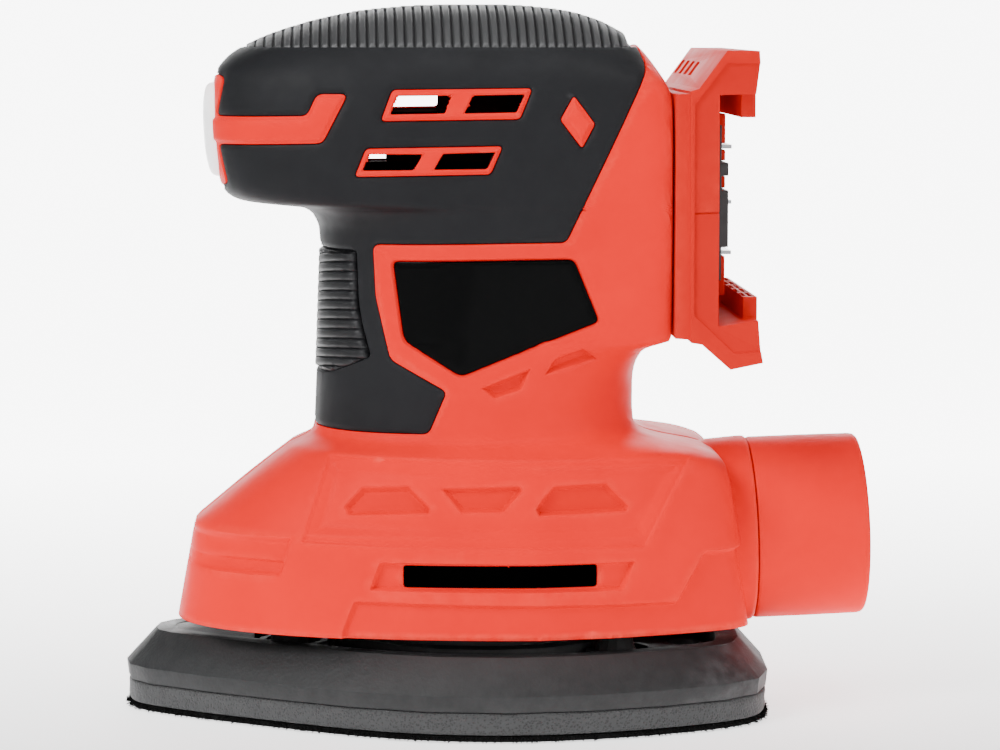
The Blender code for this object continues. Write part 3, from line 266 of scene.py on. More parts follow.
def round_corners(points, radius, steps=4):
    """The outline with each corner swapped for a short curve."""
    made = []
    for a, b, c in corners_of(points):
        reach_in = min(radius, (a - b).length * 0.45)
        reach_out = min(radius, (c - b).length * 0.45)
        start = b + (a - b).normalized() * reach_in
        end = b + (c - b).normalized() * reach_out
        for i in range(steps + 1):
            s = i / steps
            made.append(tuple(start * (1 - s) ** 2 + b * 2 * s * (1 - s) + end * s ** 2))
    return made


def inset(points, distance):
    """The outline moved inwards; a negative distance moves it out."""
    area = sum(a[0] * b[1] - b[0] * a[1] for a, b in zip(points, points[1:] + points[:1]))
    turn = 1.0 if area > 0 else -1.0
    moved = []
    for before, here, after in corners_of(points):
        first = (here - before).normalized()
        second = (after - here).normalized()
        normal = Vector((-first.y - second.y, first.x + second.x)) * turn
        scale = distance / max(1 + first.dot(second), 0.3)
        moved.append(tuple(here + normal * scale))
    return moved


def dense(points, spacing=0.9):
    """Points along a closed outline, with its corners kept."""
    made = []
    for a, b in zip(points, points[1:] + points[:1]):
        count = max(1, math.ceil(math.dist(a, b) / spacing))
        made += [(a[0] + (b[0] - a[0]) * i / count, a[1] + (b[1] - a[1]) * i / count) for i in range(count)]
    return made


def depth_inside(points, x, z):
    """Distance to the outline of each point, positive inside it."""
    p = np.array(points)
    q = np.roll(p, -1, axis=0)
    best = np.full(x.shape, 1e9)
    inside = np.zeros(x.shape, bool)
    for (ax, az), (bx, bz) in zip(p, q):
        dx, dz = bx - ax, bz - az
        length = dx * dx + dz * dz
        if length < 1e-12:
            continue
        s = np.clip(((x - ax) * dx + (z - az) * dz) / length, 0, 1)
        best = np.minimum(best, np.hypot(x - ax - s * dx, z - az - s * dz))
        if abs(dz) > 1e-12:
            crosses = ((az > z) != (bz > z)) & (x < ax + (z - az) * dx / dz)
            inside ^= crosses
    return np.where(inside, best, -best)


def ease(value):
    """0 to 1 with soft ends."""
    value = np.clip(value, 0, 1)
    return value * value * (3 - 2 * value)


class Feature:
    """An area of the side that is sunk (or with a negative depth raised), with a sloped edge."""

    def __init__(self, outline, depth, edge, corner=0.8, fade=None):
        self.outline = round_corners(outline, corner)
        self.depth, self.edge, self.fade = depth, edge, fade

    def loops(self):
        shares = (0.0, 0.3, 0.7, 1.0) if self.edge > 0.3 else (0.0, 0.5, 1.0)
        return [dense(inset(self.outline, self.edge * share)) for share in shares]

    def sunk(self, x, z):
        amount = self.depth * ease(depth_inside(self.outline, x, z) / self.edge)
        if self.fade:
            start, end = self.fade
            amount = amount * ease((x - start) / (end - start))
        return amount


def disc(x, z, radius, steps=24):
    """Points of a circle."""
    angles = [2 * math.pi * i / steps for i in range(steps)]
    return [(x + radius * math.cos(a), z + radius * math.sin(a)) for a in angles]


# ---------------------------------------------------------------- sheets over the side of the body
def linked(name, data):
    """An object with this data, in the scene."""
    made = bpy.data.objects.new(name, data)
    bpy.context.scene.collection.objects.link(made)
    return made


def soften(mesh, degrees):
    """Smooth shading, with the edges that turn further kept sharp."""
    mesh.shade_smooth()
    mesh.set_sharp_from_angle(angle=math.radians(degrees))


def add_wall(piece, thickness, inner_slot=0):
    """Thickens a sheet inwards; inner_slot is added to the material index of its inner side."""
    wall = piece.modifiers.new("wall", "SOLIDIFY")
    wall.thickness = thickness * MM
    wall.offset = -1.0
    wall.material_offset = inner_slot


def tidied(mesh, merge=None):
    """Faces a mesh outwards, after joining the points that lie within merge metres."""
    clean = bmesh.new()
    clean.from_mesh(mesh)
    if merge:
        bmesh.ops.remove_doubles(clean, verts=clean.verts, dist=merge)
    bmesh.ops.recalc_face_normals(clean, faces=clean.faces)
    clean.to_mesh(mesh)
    clean.free()


SIDES = {-1: "left", 1: "right"}
SHEET_SPACING = 1.0  # between the points that lie off every outline
SHEET_CREASE = 38  # degrees
SHORTEST_EDGE = 0.04
PARTING_GAP = 0.02  # from the middle plane to the edge of each half


def side_sheet(loops):
    """Triangles over the whole side, with mesh edges along every loop: t, z and the faces."""
    points, edges = [], []
    for loop in loops:
        kept = []
        for a, b in loop.tolist():
            if not kept or math.dist(kept[-1], (a, b)) > SHORTEST_EDGE:
                kept.append((a, b))
        base = len(points)
        points += kept
        edges += [(base + i, base + (i + 1) % len(kept)) for i in range(len(kept))]
    tree = kdtree.KDTree(len(points))
    for i, (a, b) in enumerate(points):
        tree.insert((a, b, 0.0), i)
    tree.balance()
    columns = np.linspace(0, AROUND, int(AROUND / SHEET_SPACING) + 1)
    rows = np.linspace(0, HEIGHT, int(HEIGHT / SHEET_SPACING) + 1)
    for j, b in enumerate(rows):
        for i, a in enumerate(columns):
            rim = i in (0, len(columns) - 1) or j in (0, len(rows) - 1)
            if tree.find((a, b, 0.0))[2] > (0.05 if rim else SHEET_SPACING * 0.55):
                points.append((float(a), float(b)))
    made = delaunay_2d_cdt([Vector(p) for p in points], edges, [], 0, 1e-3)
    flat = np.array([tuple(p) for p in made[0]])
    t = np.clip(flat[:, 0] / AROUND, 0, 1)
    z = np.interp(flat[:, 1], LEVEL_V, LEVEL_Z)
    return t, z, np.array([tuple(f) for f in made[2]])


def side_piece(kind, node, side, loops, keep, sunk, materials, thickness, index_of=None):
    """A sheet over one side of the body, cut to the faces that keep() picks, sunk and thickened."""
    name = f"{kind}_{SIDES[side]}"
    t, z, faces = side_sheet(loops)
    where = surface(t, z)
    middle_t, middle_z = t[faces].mean(1), z[faces].mean(1)
    middle_x, middle_y = lookup(TABLE_X, middle_t, middle_z), lookup(TABLE_Y, middle_t, middle_z)
    kept = keep(middle_x, middle_z, middle_y)
    faces, middle_t = faces[kept], middle_t[kept]
    middle_x, middle_z = middle_x[kept], middle_z[kept]
    where = where - surface_normal(t, z) * sunk(where[:, 0], z, -where[:, 1])[:, None]
    where[(t < 1e-4) | (t > 1 - 1e-4) | (z > TOP - 1e-3), 1] = -PARTING_GAP
    a, b, c = (where[faces[:, i]] for i in range(3))
    facing = np.einsum("ij,ij->i", np.cross(b - a, c - a), surface_normal(middle_t, middle_z))
    faces[facing < 0] = faces[facing < 0][:, ::-1]
    if side > 0:
        where[:, 1] *= -1
        faces = faces[:, ::-1]
    used = np.unique(faces)
    index = np.full(len(where), -1)
    index[used] = np.arange(len(used))
    mesh = bpy.data.meshes.new(name)
    mesh.from_pydata((where[used] * MM).tolist(), [], index[faces].tolist())
    for material in materials:
        mesh.materials.append(material)
    if index_of:
        mesh.polygons.foreach_set("material_index", index_of(middle_x, middle_z).astype(np.int32))
    made = linked(name, mesh)
    add_wall(made, thickness, len(materials) - 1)
    soften(mesh, SHEET_CREASE)
    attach(made, "tool_body")
    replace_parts(made, f"{node}_{SIDES[side]}")


# ---------------------------------------------------------------- materials
def lin(red, green, blue):
    """A screen colour from 0 to 255 as linear values."""
    return tuple(((c / 255 + 0.055) / 1.055) ** 2.4 if c > 10 else c / 255 / 12.92 for c in (red, green, blue))


def shade(color, amount):
    """The colour made lighter or darker."""
    return tuple(min(1.0, c * amount) for c in color)


class Graph:
    """A material and its nodes."""

    def __init__(self, name):
        self.material = bpy.data.materials.new(name)
        self.material.use_nodes = True
        self.tree = self.material.node_tree
        self.shader = self.tree.nodes["Principled BSDF"]
        self.place = self.add("ShaderNodeTexCoord").outputs["Object"]

    def add(self, kind, **inputs):
        node = self.tree.nodes.new(kind)
        for name, value in inputs.items():
            self.feed(value, node.inputs[name.replace("_", " ")])
        return node

    def feed(self, value, socket):
        """Sets a socket to a number or colour, or links another node's output to it."""
        if isinstance(value, tuple) and len(value) == 3 and socket.type == "RGBA":
            value += (1.0,)
        if isinstance(value, bpy.types.NodeSocket):
            self.tree.links.new(value, socket)
        else:
            socket.default_value = value

    def set(self, **inputs):
        """Feeds the shader's own sockets."""
        for name, value in inputs.items():
            self.feed(value, self.shader.inputs[name.replace("_", " ")])

    def noise(self, size, detail):
        """Noise whose lumps are about so many mm across."""
        return self.add("ShaderNodeTexNoise", Scale=1 / (size * MM), Detail=detail, Roughness=0.55,
                        Vector=self.place).outputs["Fac"]

    def cells(self, size):
        """Voronoi cells about so many mm across."""
        return self.add("ShaderNodeTexVoronoi", Scale=1 / (size * MM), Vector=self.place)

    def ramp(self, source, low, high, from_low=0.0, from_high=1.0):
        """The source's range from_low to from_high, spread over low to high."""
        return self.add("ShaderNodeMapRange", Value=source, From_Min=from_low, From_Max=from_high, To_Min=low,
                        To_Max=high).outputs["Result"]

    def math(self, operation, *values):
        node = self.add("ShaderNodeMath")
        node.operation = operation
        for value, socket in zip(values, node.inputs):
            self.feed(value, socket)
        return node.outputs[0]

    def blend(self, factor, first, second):
        node = self.tree.nodes.new("ShaderNodeMix")
        node.data_type = "RGBA"
        for value, socket in ((factor, 0), (first, 6), (second, 7)):
            self.feed(value, node.inputs[socket])
        return node.outputs[2]

    def bump(self, source, height, under=None):
        """A normal that follows the source, so many mm high, over another normal."""
        node = self.add("ShaderNodeBump", Strength=1.0, Distance=height * MM, Height=source)
        if under:
            self.feed(under, node.inputs["Normal"])
        return node.outputs["Normal"]


def moulded(name, color, rough, grain=0.25, height=0.004, mottle=0.06, edge_highlight=None, spread=0.06, metallic=0.0,
            wave=0.02, specular=0.5):
    """Moulded plastic, rubber, paint or bare metal: grain, slow colour change and lighter edges, a painted
    highlight.
    """
    g = Graph(name)
    tone = g.blend(g.ramp(g.noise(14, 4), 0, 1, 0.3, 0.7), shade(color, 1 - mottle), shade(color, 1 + mottle))
    if edge_highlight:
        # painted highlight: where the surface turns sharply (pointiness) the colour is lightened, in patches
        edge = g.ramp(g.add("ShaderNodeNewGeometry").outputs["Pointiness"], 0, 1, 0.515, 0.60)
        patches = g.ramp(g.noise(3, 4), 0.15, 0.8, 0.35, 0.65)
        tone = g.blend(g.math("MULTIPLY", edge, patches), tone, edge_highlight)
    g.set(
        Base_Color=tone,
        Roughness=g.ramp(g.noise(6, 5), rough - spread, rough + spread, 0.3, 0.7),
        Normal=g.bump(g.noise(9, 2), wave, g.bump(g.noise(grain, 2), height)),
        Metallic=metallic,
        Specular_IOR_Level=specular,
    )
    return g


def finish(*values, **options):
    return moulded(*values, **options).material


# name, colour, roughness, size of the grain and its height in mm, mottle, colour of the painted edge highlight
ORANGE = finish("orange_plastic", (0.85, 0.0065, 0.0045), 0.46, 0.3, 0.0035, 0.035, (0.95, 0.06, 0.04),
                wave=0.015, specular=0.04)
ORANGE_DOCK = finish("orange_dock", (0.60, 0.011, 0.0065), 0.55, 0.3, 0.005, 0.03, (0.68, 0.022, 0.014),
                     wave=0.015, specular=0.05)
# painted shade: the housing orange made darker and deeper for the recess floors and the screw wells
ORANGE_RECESS_SHADE = finish("orange_recess", (0.76, 0.004, 0.002), 0.6, 0.3, 0.005, 0.04, wave=0.015, specular=0.05)
# painted shade: near-black for the fan shroud seen through the slot in the base
SHADE = finish("dusty_black", (0.0008, 0.0008, 0.0008), 0.9, 0.3, 0.005, 0.1, specular=0.03)
# painted shade: dark red-brown for the inner side of the housing and the web seen through the vents
INSIDE_SHADE = finish("housing_inside", (0.03, 0.004, 0.003), 0.7, 0.3, 0.005, 0.1, specular=0.1)
GRIP = finish("soft_grip", (0.0068, 0.0072, 0.0088), 0.60, 0.22, 0.010, 0.10, (0.03, 0.03, 0.033), specular=0.2)
# painted shade: a darker copy of the grip rubber for the ribs on the front of the column, which face the key
# lamp
FRONT_RIBS_SHADED = finish("soft_grip_front_ribs", (0.005, 0.0053, 0.0064), 0.5, 0.2, 0.008, 0.10, (0.04, 0.04, 0.043),
                    wave=0.01, specular=0.3)
# painted light: a lighter copy of the grip rubber for the ribs on top of the head, lit from above
TOP_RIBS_LIT = finish("soft_grip_ribs", (0.034, 0.0344, 0.036), 0.48, 0.2, 0.008, 0.10, (0.09, 0.09, 0.093), wave=0.01)
GLOSS = finish("black_gloss", (0.0004, 0.0005, 0.0006), 0.12, 0.8, 0.0004, 0.10, spread=0.03, wave=0.002,
               specular=0.06)
BLACK = finish("black_plastic", (0.008, 0.008, 0.0085), 0.48, 0.22, 0.006, 0.08, lin(46, 46, 48))
STEEL = finish("steel", lin(176, 178, 182), 0.30, 0.12, 0.002, 0.05, metallic=1.0)
DARK_STEEL = finish("dark_steel", lin(92, 94, 98), 0.38, 0.15, 0.003, 0.08, lin(150, 152, 156), metallic=1.0)
ZINC = finish("zinc", lin(150, 152, 156), 0.46, 0.5, 0.008, 0.07, metallic=1.0)
MAGNET = finish("magnet", lin(62, 60, 60), 0.55, 0.4, 0.010, 0.10, metallic=0.4)
CARBON = finish("carbon", lin(26, 26, 28), 0.62, 0.3, 0.006, 0.12)
RUBBER = finish("rubber", lin(28, 28, 29), 0.72, 0.4, 0.008, 0.10)
RED_WIRE = finish("red_wire", lin(186, 24, 22), 0.42, 0.5, 0.004, 0.06)
BLACK_WIRE = finish("black_wire", lin(22, 22, 24), 0.42, 0.5, 0.004, 0.06)


def glowing_boot_rubber():
    """Milky rubber that lets some light through, with a painted glow: it gives off white light of its own."""
    g = moulded("clear_rubber", lin(244, 246, 246), 0.32, 0.5, 0.003, 0.04, spread=0.05)
    # painted glow: white emission at strength 1
    g.set(Transmission_Weight=0.12, Emission_Color=(1.0, 1.0, 1.0), Emission_Strength=1.0, IOR=1.41,
             Subsurface_Weight=0.4, Subsurface_Radius=(1.0, 1.0, 1.0), Subsurface_Scale=0.002)
    return g.material


def wound_copper():
    """Enamelled wire, lying in turns along Z."""
    g = moulded("copper", lin(188, 98, 52), 0.28, 0.6, 0.002, 0.10, metallic=1.0)
    wave = g.add("ShaderNodeTexWave", Scale=1 / (0.9 * MM), Distortion=0.6, Vector=g.place)
    g.set(Normal=g.bump(wave.outputs["Fac"], 0.12))
    return g.material


def circuit_board():
    """Green board with raised tracks."""
    g = moulded("board_green", lin(18, 84, 48), 0.34, 0.5, 0.002, 0.10)
    cells = g.cells(2.4)
    cells.distance = "MANHATTAN"
    tracks = g.ramp(cells.outputs["Distance"], 0, 1, 0.42, 0.46)
    g.set(Base_Color=g.blend(tracks, lin(16, 78, 44), lin(44, 124, 70)), Normal=g.bump(tracks, 0.03))
    return g.material


def foam():
    """Closed-cell foam: fine open pores on a soft, uneven face."""
    g = moulded("grey_foam", lin(92, 90, 90), 0.9, 0.5, 0.02, 0.10)
    pores = g.ramp(g.cells(0.55).outputs["Distance"], 0, 1, 0.05, 0.55)
    g.set(Base_Color=g.blend(pores, (0.011, 0.011, 0.0115), (0.037, 0.038, 0.039)),
             Normal=g.bump(g.noise(2.5, 5), 0.25, g.bump(pores, 0.12)), Sheen_Weight=0.2)
    return g.material


def hooks():
    """Short dense hooks, seen as a rough dark cloth."""
    g = moulded("hook_fabric", (0.0025, 0.0025, 0.0025), 0.9, 0.5, 0.02, 0.15, specular=0.15)
    g.set(Normal=g.bump(g.noise(0.9, 5), 0.35))
    return g.material


def pad_plastic():
    """The pad plate: matt black with a moulded leather-like texture."""
    g = moulded("pad_plastic", (0.0095, 0.0105, 0.011), 0.55, 0.5, 0.02, 0.10, (0.05, 0.05, 0.052),
                specular=0.35)
    cells = g.cells(0.8)
    cells.feature = "SMOOTH_F1"
    g.set(Normal=g.bump(g.noise(0.4, 4), 0.05, g.bump(cells.outputs["Distance"], 0.06)))
    return g.material


def plain_name(material):
    """The material's name without the number that Blender adds to a second one."""
    return material.name.split(".")[0]


GLOWING_BOOT = glowing_boot_rubber()
FOAM = foam()
HOOKS = hooks()
PAD_PLASTIC = pad_plastic()
FINISHES = {plain_name(material): material for material in (
    ORANGE, GRIP, GLOSS, BLACK, GLOWING_BOOT, FOAM, HOOKS, RUBBER, STEEL, DARK_STEEL, wound_copper(), ZINC, MAGNET,
    CARBON, circuit_board(), RED_WIRE, BLACK_WIRE)}
for node in NODES.values():
    for place in node.material_slots:
        place.material = FINISHES[plain_name(place.material)]


# ---------------------------------------------------------------- housing and grip
def side_loop(points, spacing=0.9):
    """A closed outline given as (x, z), as points of the unrolled side."""
    x, z = np.array(dense(points, spacing)).T
    z = np.clip(z, BOTTOM, TOP)
    return np.stack([place_of(x, z) * AROUND, np.interp(z, LEVEL_Z, LEVEL_V)], -1)


def front_loop(points, spacing=0.9):
    """A closed outline given as (y, z) on the front, as points of the unrolled side."""
    made = [(on_front(max(y, 0.0), z, "t"), z) for y, z in dense(points, spacing)]
    t, z = np.array(made).T
    return np.stack([t * AROUND, np.interp(z, LEVEL_Z, LEVEL_V)], -1)


def rounded_box(half, low, high, corner, steps=8):
    """A rectangle with round corners, as points (y, z) from the bottom middle."""
    made = []
    for cy, cz, start in ((half - corner, low + corner, -90), (half - corner, high - corner, 0),
                          (-half + corner, high - corner, 90), (-half + corner, low + corner, 180)):
        for i in range(steps + 1):
            a = math.radians(start + 90 * i / steps)
            made.append((cy + corner * math.cos(a), cz + corner * math.sin(a)))
    return made


SWITCH_WINDOW = rounded_box(7.8, 119.2, 132.8, 3.0)
BOOT_SEAT = rounded_box(9.6, 116.0, 136.6, 4.0)
BOOT_SEAT_FLOOR = rounded_box(9.1, 116.5, 136.1, 3.6)
BOOT_SEAT_DEPTH = 0.5
HEAD_FRONT, HEAD_LOW, HEAD_HIGH = -48.0, 110.0, 142.0  # the part of the body that the boot sits on
NECK_FRONT, NECK_BORE = 40.0, 19.0  # where the outlet leaves the body, and the radius cut for it
GRIP_SEAT, GRIP_STEP = 1.5, 0.3  # depth of the housing under the grip, and width of the step down to it
PARTING_GROOVE = 0.35
GRIP_EDGE = round_corners(GRIP_OUTLINE, 1.4)
FRAME_EDGES = [round_corners(outline, 0.9) for outline in VENT_FRAMES]
DIAMOND_EDGE = round_corners(DIAMOND, 0.6)
WINDOW_EDGES = [round_corners(window, 0.35) for window in WINDOWS]
SLOT_EDGE = round_corners(SLOT, 0.8)
BADGE_EDGE = round_corners(BADGE_OUTLINE, 1.8)
STRIPE = ((-75.0, 129.2), (-56.4, 129.2), (-37.5, 129.6), (-35.4, 134.2), (-29.1, 134.2), (-34.4, 124.2),
          (-56.0, 123.6), (-75.0, 123.5))

# outline, depth, width of the edge, corner radius
FEATURES = [
    Feature(PANEL_RIM, 0.6, 0.6, 0.8),
    Feature(SIDE_PANEL, 1.2, 2.4, 1.0),
    Feature(LEDGE, 1.2, 0.8, 0.8),
    Feature(NOSE_STEP, 1.1, 1.3, 0.8, fade=(-64, -55)),
    Feature(NOSE_STEP_LOWER, 0.7, 0.6, 0.6, fade=(-64, -55)),
    Feature(SLOT_FRAME, 1.6, 0.6, 0.6),
    Feature(STRIPE, -0.55, 0.9, 0.8),
    Feature(inset(BADGE_OUTLINE, -2.9), 0.35, 2.5, 1.5),
    Feature(BADGE_OUTLINE, 0.8, 0.45, 1.8),
    *(Feature(outline, 1.5, 1.0, 0.5) for outline in RECESSES),
    *(Feature(outline, -0.45, 0.7, 0.9) for outline in VENT_FRAMES),
    *(Feature(inset(window, -0.3), 0.3, 0.3, 0.4) for window in WINDOWS),
    Feature(DIAMOND, -0.7, 1.2, 0.6),
]
# the recesses whose floors take the darker orange of painted shade
RECESS_AREAS = [round_corners(outline, 0.5) for outline in RECESSES]


def grip_reach(x, z):
    """Distance inside the area that the soft grip covers, negative outside it."""
    reach = depth_inside(GRIP_EDGE, x, z)
    for hole in FRAME_EDGES + [DIAMOND_EDGE]:
        reach = np.minimum(reach, -depth_inside(hole, x, z))
    return reach


def screw_loops():
    """The rims of the screw wells."""
    return [side_loop(disc(x, z, WELL_RADIUS)) for x, z in SCREWS]


def clear_of_screws(x, z):
    """True for each point outside the screw wells."""
    return np.all([np.hypot(x - cx, z - cz) > WELL_RADIUS for cx, cz in SCREWS], axis=0)


def housing_sunk(x, z, y):
    """How far the housing lies below the loft: under the grip, in its features and along the parting line."""
    depth = GRIP_SEAT * ease(grip_reach(x, z) / GRIP_STEP)
    for feature in FEATURES:
        depth = depth + feature.sunk(x, z)
    front = (x < HEAD_FRONT) & (z > HEAD_LOW) & (z < HEAD_HIGH)
    depth = depth + np.where(front, BOOT_SEAT_DEPTH * ease(depth_inside(BOOT_SEAT, y, z) / BOOT_SEAT_DEPTH), 0)
    return depth + PARTING_GROOVE * ease(1 - y / PARTING_GROOVE)


def shell(side):
    """One half of the orange housing."""
    loops = [side_loop(GRIP_EDGE, 0.35), side_loop(inset(GRIP_EDGE, GRIP_STEP), 0.35)]
    for hole in FRAME_EDGES + [DIAMOND_EDGE]:
        loops += [side_loop(hole, 0.7), side_loop(inset(hole, -GRIP_STEP), 0.7)]
    for feature in FEATURES:
        loops += [side_loop(loop, 0.9) for loop in feature.loops()]
    loops += [side_loop(window, 0.6) for window in WINDOW_EDGES] + [side_loop(SLOT_EDGE, 0.8)]
    loops += [front_loop(outline) for outline in (SWITCH_WINDOW, BOOT_SEAT, BOOT_SEAT_FLOOR)]
    if side > 0:
        loops += screw_loops()

    def keep(x, z, y):
        kept = depth_inside(SLOT_EDGE, x, z) < 0
        for window in WINDOW_EDGES:
            kept &= depth_inside(window, x, z) < 0
        kept &= ~((x < HEAD_FRONT) & (depth_inside(SWITCH_WINDOW, y, z) > 0))
        kept &= ~((x > NECK_FRONT) & (np.hypot(y, z - OUTLET_Z - x * math.tan(TILT)) < NECK_BORE))
        return kept & clear_of_screws(x, z) if side > 0 else kept

    def recess_shade_index(x, z):
        shaded = np.zeros(x.shape, int)
        for area in RECESS_AREAS:
            shaded[depth_inside(area, x, z) > 0.25] = 1
        return shaded

    # the inner side of the wall takes the dark colour of painted shade
    side_piece("housing_shell", "housing", side, loops, keep, housing_sunk,
               (ORANGE, ORANGE_RECESS_SHADE, INSIDE_SHADE), 1.1, recess_shade_index)


def grip(side):
    """One half of the soft grip, sunk under the ribs."""
    gap, roll = 0.14, 0.6  # clear of the housing, and width of the rolled edge
    loops = []
    for share in (0.0, 0.25, roll):
        loops.append(side_loop(inset(GRIP_EDGE, gap + share)))
        loops += [side_loop(inset(hole, -gap - share), 0.7) for hole in FRAME_EDGES + [DIAMOND_EDGE]]
    panel = Feature(RIB_PANEL, 1.1, 0.7, 1.2)
    crown = Feature(CROWN, 1.1, 0.6, 1.0)
    loops += [side_loop(loop) for loop in panel.loops() + crown.loops()]
    if side > 0:
        loops += screw_loops()

    def keep(x, z, y):
        kept = grip_reach(x, z) > gap
        return kept & clear_of_screws(x, z) if side > 0 else kept

    def sunk(x, z, y):
        edge = grip_reach(x, z) - gap
        depth = 0.32 * (1 - ease(edge / roll)) + panel.sunk(x, z) + crown.sunk(x, z)
        return depth + 0.25 * ease(1 - y / 0.4)

    side_piece("grip", "grip_cover", side, loops, keep, sunk, (GRIP,), 1.0)


def badge(side):
    """A plain gloss plate in its pocket."""
    gap, depth, roll, fall = 0.5, 0.72, 0.5, 0.2
    edge = inset(BADGE_EDGE, gap)
    loops = [side_loop(inset(edge, share)) for share in (0.0, 0.2, roll)]

    def keep(x, z, y):
        return depth_inside(edge, x, z) > 0

    def sunk(x, z, y):
        return depth + fall * (1 - ease(depth_inside(edge, x, z) / roll))

    side_piece("badge_plate", "badge", side, loops, keep, sunk, (GLOSS,), 0.7)


for side in (-1, 1):
    shell(side)
    grip(side)
    badge(side)


def mesh_piece(name, points, faces, material, body, degrees=35):
    """A mesh from points in mm; it rides on a body."""
    mesh = bpy.data.meshes.new(name)
    mesh.from_pydata([tuple(c * MM for c in p) for p in points], [], [tuple(f) for f in faces])
    mesh.materials.append(material)
    tidied(mesh, 1e-6)
    soften(mesh, degrees)
    made = linked(name, mesh)
    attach(made, body)
    return made


def grid_faces(rows, columns, closed=False):
    """Quads between rows of points, also from the last column to the first if closed."""
    last = columns if closed else columns - 1
    return [(r * columns + c, r * columns + (c + 1) % columns, (r + 1) * columns + (c + 1) % columns,
             (r + 1) * columns + c) for r in range(rows - 1) for c in range(last)]


def sheet_piece(name, grid, material, thickness):
    """A grid of points [row][column] on the casing, as a thickened sheet whose outer side is shown."""
    rows, columns = grid.shape[:2]
    mesh = bpy.data.meshes.new(name)
    mesh.from_pydata((grid.reshape(-1, 3) * MM).tolist(), [], grid_faces(rows, columns))
    mesh.materials.append(material)
    soften(mesh, 50)
    made = linked(name, mesh)
    add_wall(made, thickness)
    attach(made, "tool_body")


def ringed(name, rings, material, body, capped=True, degrees=35):
    """Outlines of one length joined in order, with flat ends or else closed onto the first."""
    count, last = len(rings[0]), (len(rings) - 1) * len(rings[0])
    faces = grid_faces(len(rings), count, True)
    if capped:
        faces += [tuple(range(count)), tuple(range(last, last + count))]
    else:
        faces += [(last + i, last + (i + 1) % count, (i + 1) % count, i) for i in range(count)]
    return mesh_piece(name, [p for ring in rings for p in ring], faces, material, body, degrees)


# ---------------------------------------------------------------- ribs of the grip
RIB_LOW = 144.0
RIB_PITCH = 2.0
RIB_FRONT, RIB_REAR = -50.6, 33.2


def across_head(x, count):
    """Points (y, z) over the head at x, from the right side to the left, and the distance along them."""
    z = np.linspace(RIB_LOW, TOP, 160)
    row = row_of(z)
    z = z[(TABLE_X[row, 0] <= x) & (x <= TABLE_X[row, -1])]
    y = lookup(TABLE_Y, place_of(np.full(z.shape, x), z), z)
    y[-1] = 0.0
    half = np.stack([y, z], -1)
    return evenly(np.concatenate([half, (half * (-1, 1))[::-1][1:]]), count)


def top_ribs():
    """Ribs across the head with round ends, joined by a smooth strip along the middle."""
    per_rib, count = 10, 61
    flank, end_run = 0.26, 0.7  # the slope's share of a rib, and mm over which a rib ends
    strip_half, strip_edge = 1.5, 0.7
    groove, relief = 0.8, 0.82
    rows = []
    for i in range(int((RIB_REAR - RIB_FRONT) / RIB_PITCH) * per_rib + 1):
        x = RIB_FRONT + i * RIB_PITCH / per_rib
        line, run = across_head(x, count)
        slope = np.gradient(line, axis=0)
        normal = np.stack([slope[:, 1], -slope[:, 0]], -1)
        normal /= np.linalg.norm(normal, axis=1, keepdims=True)
        phase = (i % per_rib) / per_rib
        crest = ease(min(phase, 1 - phase) / flank)
        ends = ease(np.minimum(run, run[-1] - run) / end_run)
        strip = 1 - ease((np.abs(line[:, 0]) - strip_half) / strip_edge)
        where = line + normal * (relief * np.maximum(crest * ends, strip) - groove)[:, None]
        rows.append(np.stack([np.full(count, x), where[:, 0], where[:, 1]], -1))
    sheet_piece("top_ribs", np.array(rows), TOP_RIBS_LIT, 0.4)


def front_ribs():
    """Ribs down the front of the column, bowed towards its middle."""
    low, high, pitch, per_rib, half_count = 74.4, 100.4, 2.05, 10, 30
    margin, bow, flank, end_run = 0.9, 1.6, 0.3, 0.7
    strip_half, strip_edge = 1.0, 0.7
    rows = []
    edge = np.array(RIB_PANEL)[1:6]
    for z in np.linspace(low, high, int((high - low) / pitch * per_rib)):
        rear = np.interp(z, edge[::-1, 1], edge[::-1, 0]) - margin
        last = place_of(np.array([rear]), np.array([z]))[0]
        t = np.concatenate([np.linspace(last, 0, half_count + 1), np.linspace(0, last, half_count + 1)[1:]])
        level = np.full(t.shape, z)
        where = surface(t, level)
        normal = surface_normal(t, level)
        where[half_count + 1:, 1] *= -1
        normal[half_count + 1:, 1] *= -1
        inwards = 1 - t / last
        phase = ((z + bow * inwards ** 1.5) / pitch) % 1
        crest = ease(np.minimum(phase, 1 - phase) / flank)
        ends = ease(inwards * last * AROUND) * ease((z - low) / end_run) * ease((high - z) / end_run)
        strip = 1 - ease((np.abs(where[:, 1]) - strip_half) / strip_edge)
        rows.append(where + normal * (np.maximum(crest, strip * 0.9) * ends - 1.0)[:, None])
    sheet_piece("front_ribs", np.array(rows), FRONT_RIBS_SHADED, 0.4)


top_ribs()
front_ribs()


# ---------------------------------------------------------------- switch boot
BOOT_MIDDLE = 126.3
BOOT_OUTLINE = rounded_box(9.4, 116.2, 136.4, 3.9, 10)
BOOT_PROFILE = (  # share of the outline, height over the head
    (0.9, -2.2), (0.97, -1.6), (1.0, -1.0), (1.0, 0.0), (0.995, 0.6), (0.975, 1.1), (0.94, 1.45), (0.9, 1.65),
    (0.84, 1.8), (0.76, 1.95), (0.66, 2.1), (0.54, 2.2), (0.4, 2.3), (0.24, 2.35), (0.1, 2.4),
)


def switch_boot():
    """A domed cover on the front of the head."""
    rings = []
    for share, out in BOOT_PROFILE:
        shrunk = [(y * share, BOOT_MIDDLE + (z - BOOT_MIDDLE) * share) for y, z in BOOT_OUTLINE]
        rings.append([(on_front(y, z, "x") - out, y, z) for y, z in shrunk])
    made = ringed("switch_boot_cover", rings, GLOWING_BOOT, "tool_body", degrees=50)
    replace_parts(made, "switch_boot")


